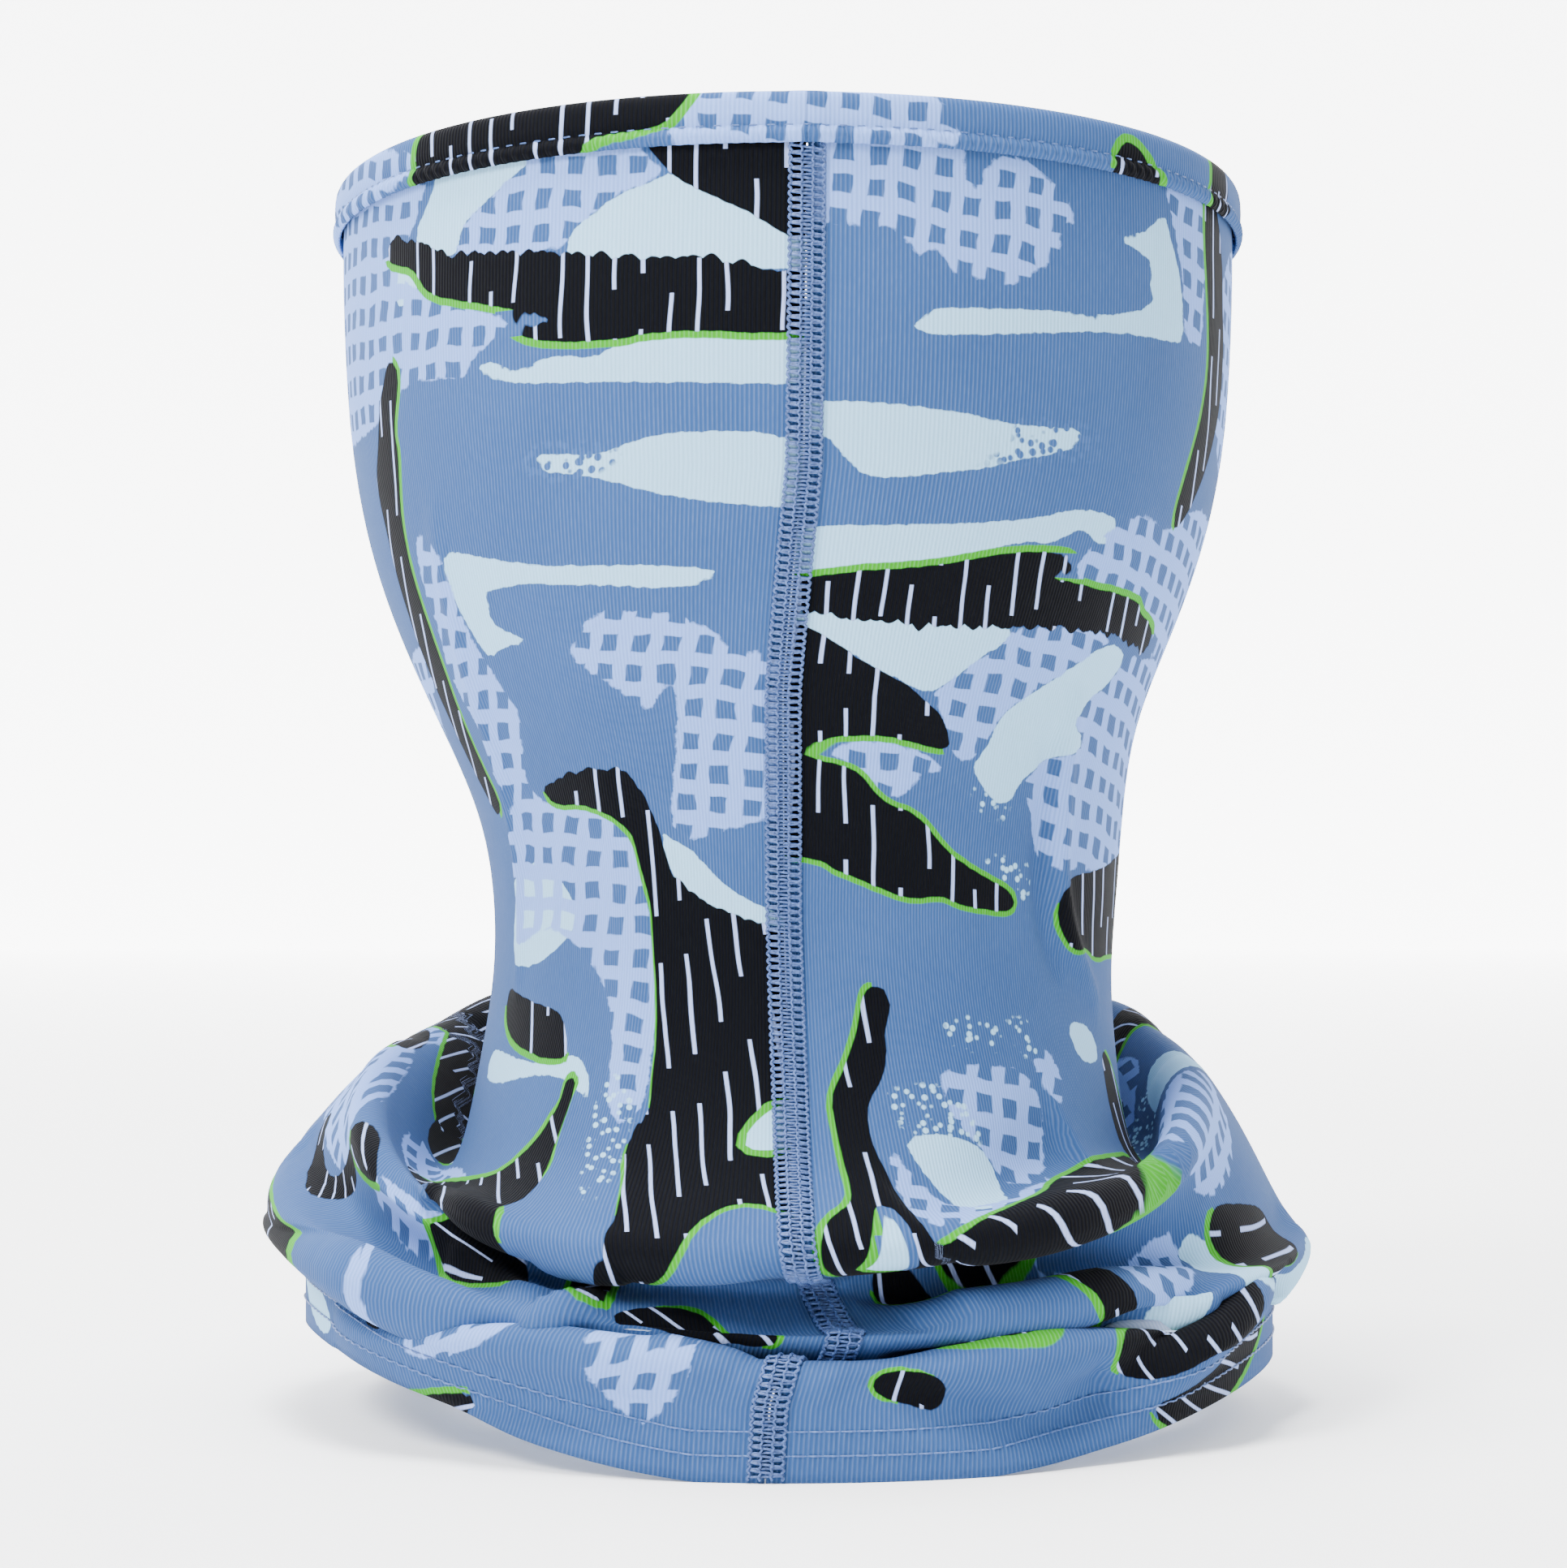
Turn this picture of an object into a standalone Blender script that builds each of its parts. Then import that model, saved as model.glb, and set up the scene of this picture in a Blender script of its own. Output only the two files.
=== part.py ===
"""A neck gaiter in its worn shape: a printed knit tube, wide over the face, drawn in at the
neck and bunched into a ring of folds at the base. It stands on its bottom hem.

The cloth is one panel, closed by a flatlock seam at the back of the neck (the -Y side).
A folded strip binds the top edge, and the bottom edge is turned up and coverstitched.
+Z is up, +X is the wearer's right as seen from behind, and the origin is at floor level.
"""

import math

import bmesh
import bpy
from mathutils import Vector

MM = 0.001

# Driving dimensions, in metres.
CLOTH_THICKNESS = 1.0 * MM
CLEARANCE = 0.35 * MM  # between one layer or thread and the next
BAND_HEIGHT = 8.0 * MM
BAND_HEADROOM = 1.6 * MM  # from the panel's raw top edge up to the band's fold
BAND_SHOULDER = 1.2 * MM  # how far down the band's fold curves over
BAND_STITCH_RISE = 2.2 * MM  # the stitch row, above the band's lower edge
HEM_HEIGHT = 11.0 * MM
HEM_ROW_RISES = (4.5 * MM, 8.5 * MM)  # the two needle rows, above the hem's edge
TURN_UP_GAPS = (0.6 * MM, 0.8 * MM)  # the turn-up stops short of the hem's edge and top
SEAM_WIDTH = 6.0 * MM
SEAM_SLIT = 0.4 * MM  # between the panel's two edges, under the seam
SEAM_RADIUS = 90.0 * MM  # the radius at which the widths across the seam hold
SEAM_ROWS = 4
SEAM_ROWS_SPREAD = 5.5 * MM  # from the first needle row to the last
SEAM_END_GAPS = (1.2 * MM, 0.8 * MM)  # below the band, above the floor
THREAD_RADIUS = 0.16 * MM
COVER_THREAD_PITCH = 9.0 * MM

COLUMNS = 40  # facets round the tube
THREAD_SIDES_LEVEL = 0  # bevel resolution 0 makes a four-sided thread

# Rings of the cloth, from the top edge to the start of the hem. Each has its radius and its
# height in millimetres at four places: back (the seam), right, front (the face), left.
UPPER_RINGS = (
    ((87.0, 82.0, 87.0, 82.0), (227.9, 220.4, 212.9, 220.4)),
    ((88.0, 82.3, 88.5, 82.3), (214.0, 208.0, 202.0, 208.0)),
    ((89.0, 81.8, 89.5, 81.8), (196.0, 192.0, 189.0, 192.0)),
    ((88.0, 80.6, 88.5, 80.6), (177.0, 175.0, 174.0, 175.0)),
    ((84.5, 77.0, 86.0, 77.5), (159.0, 158.0, 159.0, 158.0)),
    ((78.5, 71.0, 81.0, 72.0), (142.0, 142.0, 144.0, 142.0)),
    ((71.0, 64.0, 73.5, 64.5), (126.0, 126.0, 129.0, 126.0)),
    ((65.0, 60.5, 66.0, 58.5), (110.0, 110.0, 115.0, 110.0)),
    ((62.0, 59.5, 62.5, 56.0), (95.0, 95.0, 103.0, 95.0)),
)
FOLD_RINGS = (
    ((63.0, 59.0, 62.0, 55.5), (80.0, 80.0, 91.0, 79.0)),  # neck
    ((69.0, 60.5, 61.5, 57.0), (64.0, 64.0, 76.0, 63.0)),  # spreading at the nape
    ((79.0, 61.5, 62.0, 59.0), (52.0, 48.0, 59.0, 46.0)),  # slope, a valley elsewhere
    ((90.0, 65.0, 66.0, 63.0), (44.0, 45.0, 56.0, 43.5)),
    ((95.0, 70.0, 71.5, 69.0), (37.5, 59.0, 73.0, 57.0)),  # swag lip, the collar's crest
    ((88.0, 75.5, 77.5, 76.0), (33.5, 63.5, 79.0, 62.0)),
    ((75.0, 82.0, 85.0, 85.0), (33.0, 54.5, 71.0, 54.5)),  # first tuck, outer slope
    ((74.0, 88.0, 91.0, 93.0), (27.5, 43.5, 57.0, 44.0)),
    ((88.0, 92.5, 94.5, 95.8), (27.0, 35.0, 44.0, 35.5)),  # second lip, lower slope
    ((96.0, 96.0, 96.0, 97.3), (24.0, 29.5, 34.0, 30.5)),
    ((90.0, 96.0, 94.5, 96.5), (21.0, 26.5, 27.5, 28.0)),
    ((77.0, 93.8, 92.0, 94.3), (20.0, 24.8, 23.0, 26.3)),  # second tuck
    ((77.0, 92.0, 91.0, 92.0), (15.5, 23.5, 18.5, 25.0)),
    ((87.0, 90.8, 91.2, 90.3), (15.0, 22.3, 15.8, 23.8)),
    ((92.0, 90.0, 91.5, 89.4), (13.5, 21.0, 13.3, 22.4)),
)
HEM_RADIUS = (93.0, 89.5, 91.5, 89.0)
# The hem's edge, at eight places turning to the right. Heights under zero lie on the floor.
HEM_EDGE_HEIGHT = (-1.2, 3.0, 7.5, 2.5, -1.2, 2.0, 9.0, 5.0)
STEPS_UPPER = 1
STEPS_FOLDS = 2

PRINT_BLUE = (0.160, 0.278, 0.510)
UNPRINTED_BLUE = (0.52, 0.62, 0.78)
THREAD_BLUE = (0.21, 0.34, 0.58)
CHALK_THREAD = (0.42, 0.53, 0.72)


def around(values, angle):
    """A smooth value at this angle, from an even number of values equally spaced round the
    tube: four are at the back, right, front and left.
    """
    count = len(values)
    total = 0.0
    for i, value in enumerate(values):
        turn = angle - 2 * math.pi * i / count
        weight = 1 + math.cos(count / 2 * turn)
        for harmonic in range(1, count // 2):
            weight += 2 * math.cos(harmonic * turn)
        total += value * weight / count
    return total


def spline(points, steps):
    """Points along a uniform cubic B-spline that starts and ends at its end points."""
    first = points[0] * 2 - points[1]
    last = points[-1] * 2 - points[-2]
    ends = [first, *points, last]
    found = []
    for i in range(len(points) - 1):
        a, b, c, d = ends[i : i + 4]
        for step in range(steps):
            t = step / steps
            found.append(
                (
                    a * (1 - t) ** 3
                    + b * (3 * t**3 - 6 * t**2 + 4)
                    + c * (-3 * t**3 + 3 * t**2 + 3 * t + 1)
                    + d * t**3
                )
                / 6
            )
    return found


def profile(angle):
    """(radius, height) down the cloth at this angle, in metres, from top edge to hem edge."""
    rings = UPPER_RINGS + FOLD_RINGS
    points = [Vector((around(r, angle), around(z, angle))) for r, z in rings]
    split = len(UPPER_RINGS)
    edge = max(0.0, around(HEM_EDGE_HEIGHT, angle))
    hem_radius = around(HEM_RADIUS, angle)
    hem_top = Vector((hem_radius, edge + HEM_HEIGHT / MM))
    points.append(hem_top)
    rows = spline(points, STEPS_FOLDS)
    upper = rows[: split * STEPS_FOLDS : STEPS_FOLDS // STEPS_UPPER]
    rows = upper + rows[split * STEPS_FOLDS :]
    rows.append(hem_top)
    rows.append(Vector((hem_radius, edge)))
    return [row * MM for row in rows]


def place(angle, radius, height):
    """The point at this angle from the seam, turning to the right, and at this radius."""
    return Vector((radius * math.sin(angle), -radius * math.cos(angle), height))


def offset_profile(angle, offset):
    """The profile's points at this angle, moved out of the cloth by offset, in 3-D."""
    rows = profile(angle)
    found = []
    for i, (radius, height) in enumerate(rows):
        before = rows[max(i - 1, 0)]
        after = rows[min(i + 1, len(rows) - 1)]
        along = (after - before).normalized()
        outward = Vector((-along.y, along.x))
        found.append(place(angle, radius + offset * outward.x, height + offset * outward.y))
    return found


def panel_angles():
    """Angles of the panel's columns, from one side of the seam's slit round to the other."""
    slit = SEAM_SLIT / 2 / SEAM_RADIUS
    return [slit + (2 * math.pi - 2 * slit) * i / COLUMNS for i in range(COLUMNS + 1)]


def material(name, colour, roughness):
    """A plain Principled material."""
    made = bpy.data.materials.new(name)
    made.use_nodes = True
    shader = made.node_tree.nodes["Principled BSDF"]
    shader.inputs["Base Color"].default_value = (*colour, 1)
    shader.inputs["Roughness"].default_value = roughness
    shader.inputs["Metallic"].default_value = 0
    return made


def sheet(name, columns, thickness, finish):
    """A sheet through columns of points, thickened evenly to both sides."""
    mesh = bmesh.new()
    grid = [[mesh.verts.new(point) for point in column] for column in columns]
    for left, right in zip(grid, grid[1:]):
        for i in range(len(left) - 1):
            mesh.faces.new((left[i], left[i + 1], right[i + 1], right[i]))
    data = bpy.data.meshes.new(name)
    mesh.to_mesh(data)
    mesh.free()
    data.shade_smooth()
    data.materials.append(finish)
    obj = bpy.data.objects.new(name, data)
    bpy.context.scene.collection.objects.link(obj)
    wall = obj.modifiers.new("cloth_thickness", "SOLIDIFY")
    wall.thickness = thickness
    wall.offset = 0
    wall.use_even_offset = True
    return obj


def thread(name, points, finish, closed=False):
    """A thread through these points, as a thin four-sided tube."""
    curve = bpy.data.curves.new(name, "CURVE")
    curve.dimensions = "3D"
    curve.bevel_depth = THREAD_RADIUS
    curve.bevel_resolution = THREAD_SIDES_LEVEL
    curve.use_fill_caps = not closed
    spline_data = curve.splines.new("POLY")
    spline_data.points.add(len(points) - 1)
    for slot, point in zip(spline_data.points, points):
        slot.co = (*point, 1)
    spline_data.use_cyclic_u = closed
    curve.materials.append(finish)
    obj = bpy.data.objects.new(name, curve)
    bpy.context.scene.collection.objects.link(obj)
    return obj


def body_panel(finish):
    """The printed panel, wrapped into a tube whose two edges meet under the seam."""
    columns = [offset_profile(angle, 0) for angle in panel_angles()]
    return sheet("body_panel", columns, CLOTH_THICKNESS, finish)


def rim_frame(angle):
    """(point, outward, up) at the panel's raw top edge."""
    top, below = offset_profile(angle, 0)[:2]
    up = (top - below).normalized()
    along = Vector((math.cos(angle), math.sin(angle), 0))
    return top, along.cross(up).normalized(), up


def top_band(finish):
    """The strip folded over the panel's top edge, as an upside-down U in section."""
    leg = CLOTH_THICKNESS + CLEARANCE
    section = (
        (1.0, -BAND_HEIGHT),
        (1.0, -BAND_HEIGHT / 2),
        (1.0, -BAND_SHOULDER),
        (0.7, -BAND_SHOULDER / 4),
        (0.0, 0.0),
        (-0.7, -BAND_SHOULDER / 4),
        (-1.0, -BAND_SHOULDER),
        (-1.0, -BAND_HEIGHT / 2),
        (-1.0, -BAND_HEIGHT),
    )
    columns = []
    for angle in panel_angles():
        edge, outward, up = rim_frame(angle)
        columns.append(
            [edge + outward * side * leg + up * (BAND_HEADROOM + drop) for side, drop in section]
        )
    obj = sheet("top_band", columns, CLOTH_THICKNESS, finish)
    for polygon in obj.data.polygons:
        polygon.flip()
    return obj


def hem_turn_up(finish):
    """The bottom edge's allowance, turned up inside the hem."""
    inset = CLOTH_THICKNESS + CLEARANCE
    columns = []
    for angle in panel_angles():
        top, bottom = profile(angle)[-2:]
        heights = (top.y - TURN_UP_GAPS[1], bottom.y + TURN_UP_GAPS[0])
        columns.append([place(angle, bottom.x - inset, height) for height in heights])
    return sheet("hem_turn_up", columns, CLOTH_THICKNESS, finish)


def band_threads(finish):
    """One stitch row round the band: its needle thread outside, its bobbin thread inside."""
    reach = CLOTH_THICKNESS * 1.5 + CLEARANCE * 2 + THREAD_RADIUS
    rise = BAND_HEADROOM - BAND_HEIGHT + BAND_STITCH_RISE
    for name, side in (("band_needle_thread", 1), ("band_bobbin_thread", -1)):
        points = []
        for angle in panel_angles()[:-1]:
            edge, outward, up = rim_frame(angle)
            points.append(edge + outward * side * reach + up * rise)
        thread(name, points, finish, closed=True)


def hem_threads(finish):
    """Two needle rows outside the bottom hem and the looper thread behind them."""
    outside = CLOTH_THICKNESS / 2 + CLEARANCE + THREAD_RADIUS
    inside = -(CLOTH_THICKNESS * 1.5 + CLEARANCE * 2 + THREAD_RADIUS)
    lower, upper = HEM_ROW_RISES
    rows = (
        ("hem_needle_thread_upper", outside, upper),
        ("hem_needle_thread_lower", outside, lower),
        ("hem_looper_thread", inside, (lower + upper) / 2),
    )
    for name, out, rise in rows:
        points = []
        for angle in panel_angles()[:-1]:
            radius, height = profile(angle)[-1]
            points.append(place(angle, radius + out, height + rise))
        thread(name, points, finish, closed=True)


def seam_line(across, out):
    """Points down the seam at this distance across it, from under the band to the hem."""
    points = offset_profile(across / SEAM_RADIUS, out)
    below_band = points[0] - Vector((0, 0, BAND_HEIGHT - BAND_HEADROOM + SEAM_END_GAPS[0]))
    above_floor = points[-1] + Vector((0, 0, SEAM_END_GAPS[1]))
    return [below_band, *points[1:-1], above_floor]


def seam_needle_threads(finish):
    """The needle threads, in parallel rows down the seam."""
    out = CLOTH_THICKNESS / 2 + CLEARANCE + THREAD_RADIUS
    for i in range(SEAM_ROWS):
        across = SEAM_ROWS_SPREAD * (i / (SEAM_ROWS - 1) - 0.5)
        thread(f"seam_needle_thread_{i + 1}", hem_step(seam_line(across, out)), finish)


def hem_step(points):
    """The same points, carried out over the hem's needle threads."""
    step = 2 * THREAD_RADIUS + CLEARANCE
    return points[:-2] + [p + Vector((0, -step, 0)) for p in points[-2:]]


def zigzag(name, out, finish, outside):
    """A thread that crosses the seam from side to side all the way down.

    Outside it is carried over the hem's needle threads; inside it stops above the turn-up.
    """
    sides = [seam_line(side * SEAM_WIDTH / 2, out) for side in (-1, 1)]
    sides = [hem_step(side) if outside else side[:-2] for side in sides]
    points = []
    for i in range(len(sides[0]) - 1):
        length = (sides[0][i + 1] - sides[0][i]).length
        crossings = max(1, round(length / COVER_THREAD_PITCH * 2))
        for j in range(crossings):
            line = sides[len(points) % 2]
            points.append(line[i].lerp(line[i + 1], j / crossings))
    points.append(sides[len(points) % 2][-1])
    return thread(name, points, finish)


def main():
    """Builds the gaiter."""
    for obj in list(bpy.data.objects):
        bpy.data.objects.remove(obj)
    print_cloth = material("printed_knit", PRINT_BLUE, 0.62)
    plain_cloth = material("unprinted_knit", UNPRINTED_BLUE, 0.75)
    seam_thread = material("textured_seam_thread", THREAD_BLUE, 0.7)
    hem_thread = material("spun_hem_thread", CHALK_THREAD, 0.7)

    body_panel(print_cloth)
    top_band(print_cloth)
    hem_turn_up(plain_cloth)
    band_threads(hem_thread)
    hem_threads(hem_thread)
    seam_needle_threads(seam_thread)
    over_needles = CLOTH_THICKNESS / 2 + 2 * CLEARANCE + 3 * THREAD_RADIUS
    zigzag("seam_cover_thread", over_needles, seam_thread, outside=True)
    behind = -(CLOTH_THICKNESS / 2 + CLEARANCE + THREAD_RADIUS)
    zigzag("seam_looper_thread", behind, seam_thread, outside=False)


main()
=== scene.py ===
"""A printed neck gaiter, seen from behind in its worn shape.

The cloth is one panel of fine-ribbed stretch knit. It is wrapped into a tube, drawn in at the
neck and bunched into folds at the base, then dressed with its print, its seam and its hems.
"""

import logging
import math
from dataclasses import dataclass, field
from enum import Enum

import bpy
import numpy as np
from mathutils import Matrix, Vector


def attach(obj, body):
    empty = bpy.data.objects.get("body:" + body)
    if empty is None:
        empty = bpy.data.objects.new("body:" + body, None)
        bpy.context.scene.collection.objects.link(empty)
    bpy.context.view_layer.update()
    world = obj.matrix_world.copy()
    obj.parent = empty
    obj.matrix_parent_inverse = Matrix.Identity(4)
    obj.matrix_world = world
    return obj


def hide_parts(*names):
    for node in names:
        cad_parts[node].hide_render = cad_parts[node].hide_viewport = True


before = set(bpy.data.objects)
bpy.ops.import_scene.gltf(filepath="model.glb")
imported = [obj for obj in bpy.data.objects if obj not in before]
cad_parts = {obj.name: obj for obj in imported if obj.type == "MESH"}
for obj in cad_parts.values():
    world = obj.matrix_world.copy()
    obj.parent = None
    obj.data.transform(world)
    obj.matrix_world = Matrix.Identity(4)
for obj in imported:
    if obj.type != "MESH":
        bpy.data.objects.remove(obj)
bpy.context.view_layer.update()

MM = 0.001
ROOT = "root"  # the one body of a row with no joints
FULL_TURN = 360.0  # degrees round the tube
GIRTH = 530.0  # mm, the width that the cloth is cut to
STITCH_STEPS = 6  # points of a thread's path for each stitch

log = logging.getLogger("neck_gaiter")


# Colour and node helpers


def linear(colour: str) -> tuple[float, float, float, float]:
    """Turns an sRGB hex colour into the linear values that a shader takes.

    Args:
        colour: six hex digits, such as "6E8EBE".

    Returns:
        Red, green, blue and an alpha of 1.
    """
    shares = [int(colour[i : i + 2], 16) / 255 for i in (0, 2, 4)]
    red, green, blue = [s / 12.92 if s <= 0.04045 else ((s + 0.055) / 1.055) ** 2.4 for s in shares]
    return (red, green, blue, 1.0)


def add_node(
    tree: bpy.types.NodeTree, kind: str, inputs: dict | tuple = (), **settings: object
) -> bpy.types.Node:
    """Adds a node with its settings, its input values and its links.

    Args:
        tree: the material's node tree.
        kind: the node's type, such as "ShaderNodeMath".
        inputs: for each input, by name or number, a value or the socket that feeds it. A tuple
            holds them in the inputs' own order.
        **settings: the node's own properties.

    Returns:
        The new node.
    """
    node = tree.nodes.new(kind)
    for name, value in settings.items():
        setattr(node, name, value)
    for name, value in inputs.items() if isinstance(inputs, dict) else enumerate(inputs):
        if isinstance(value, bpy.types.NodeSocket):
            tree.links.new(value, node.inputs[name])
        else:
            node.inputs[name].default_value = value
    return node


# The cloth's worn shape


def around(values: tuple, angles: np.ndarray) -> np.ndarray:
    """Smooth values round the tube from an even number of values equally spaced round it.

    Args:
        values: the numbers. Four are at the back, right, front and left.
        angles: radians from the seam, turning to the right.

    Returns:
        One value for each angle.
    """
    count = len(values)
    total = np.zeros(angles.shape)
    for i, value in enumerate(values):
        turn = angles - 2 * math.pi * i / count
        weight = 1 + np.cos(count / 2 * turn)
        for harmonic in range(1, count // 2):
            weight += 2 * np.cos(harmonic * turn)
        total += value * weight / count
    return total


def spline_weights(count: int, steps: np.ndarray) -> np.ndarray:
    """Weights of a uniform cubic B-spline that starts and ends at its end points.

    Args:
        count: how many control points it has.
        steps: the places along it, from 0 to count - 1.

    Returns:
        One row for each place and one column for each control point.
    """
    weights = np.zeros((len(steps), count))
    for row, place in enumerate(steps):
        start = min(int(place), count - 2)
        t = place - start
        basis = (
            (1 - t) ** 3,
            3 * t**3 - 6 * t**2 + 4,
            -3 * t**3 + 3 * t**2 + 3 * t + 1,
            t**3,
        )
        for offset, weight in zip((-1, 0, 1, 2), basis):
            at = start + offset
            if at < 0:
                weights[row, 0] += 2 * weight / 6
                weights[row, 1] -= weight / 6
            elif at >= count:
                weights[row, -1] += 2 * weight / 6
                weights[row, -2] -= weight / 6
            else:
                weights[row, at] += weight / 6
    return weights


def smooth_path(points: tuple, closed: bool, rounds: int = 2) -> np.ndarray:
    """Rounds the corners of a path by cutting them, which keeps it near its points.

    Args:
        points: the path's corners.
        closed: whether it is an outline.
        rounds: how many times the corners are cut.

    Returns:
        The rounded path, one row a point. An outline doesn't repeat its first point.
    """
    path = np.asarray(points, float)
    for _ in range(rounds):
        ahead = np.roll(path, -1, axis=0)
        near, far = path * 0.75 + ahead * 0.25, path * 0.25 + ahead * 0.75
        if closed:
            path = np.stack([near, far], axis=1).reshape(-1, path.shape[1])
        else:
            middle = np.stack([near[:-1], far[:-1]], axis=1).reshape(-1, path.shape[1])
            path = np.vstack([path[:1], middle, path[-1:]])
    return path


def nearest_on_path(
    points: np.ndarray, path: np.ndarray
) -> tuple[np.ndarray, np.ndarray, np.ndarray, np.ndarray]:
    """Finds how far each point is from a path.

    Args:
        points: flat points, one row each.
        path: the path's points, one row each.

    Returns:
        The distances, the side that each point lies on (1 is the lower side of a path that runs
        to the right), its share of the way along, and the gap from the path to it.
    """
    starts, spans = path[:-1], np.diff(path, axis=0)
    best = np.full(len(points), np.inf)
    side = np.ones(len(points))
    share = np.zeros(len(points))
    gaps = np.zeros((len(points), 2))
    for i, (start, span) in enumerate(zip(starts, spans)):
        along = np.clip(((points - start) @ span) / (span @ span), 0, 1)
        gap = points - start - along[:, None] * span
        distance = np.hypot(gap[:, 0], gap[:, 1])
        nearer = distance < best
        best = np.where(nearer, distance, best)
        turn = span[0] * gap[:, 1] - span[1] * gap[:, 0]
        side = np.where(nearer, np.where(turn < 0, -1.0, 1.0), side)
        share = np.where(nearer, (i + along) / len(spans), share)
        gaps = np.where(nearer[:, None], gap, gaps)
    return best, side, share, gaps


def signed_distance(points: np.ndarray, outline: np.ndarray) -> tuple[np.ndarray, np.ndarray]:
    """Distance of each point from an outline, below zero inside it.

    Args:
        points: flat points, one row each.
        outline: the closed outline's points, one row each.

    Returns:
        The signed distances, and the gap from the outline to each point.
    """
    ring = np.vstack([outline, outline[:1]])
    distance, _, _, gaps = nearest_on_path(points, ring)
    inside = np.zeros(len(points), bool)
    for (x0, y0), (x1, y1) in zip(ring[:-1], ring[1:]):
        if y0 == y1:
            continue
        crosses = (points[:, 1] < y0) != (points[:, 1] < y1)
        at = x0 + (points[:, 1] - y0) * (x1 - x0) / (y1 - y0)
        inside ^= crosses & (points[:, 0] < at)
    return np.where(inside, -distance, distance), gaps


@dataclass(frozen=True)
class Ridge:
    """A fold that stands out of the tube, or a groove where its lift is below zero."""

    path: tuple[tuple[float, float], ...]  # (degrees from the seam, mm down the cloth)
    lift: float  # mm, at the middle of the path
    above: float  # mm over which it fades on its upper side
    below: float  # mm over which it fades on its lower side


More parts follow.
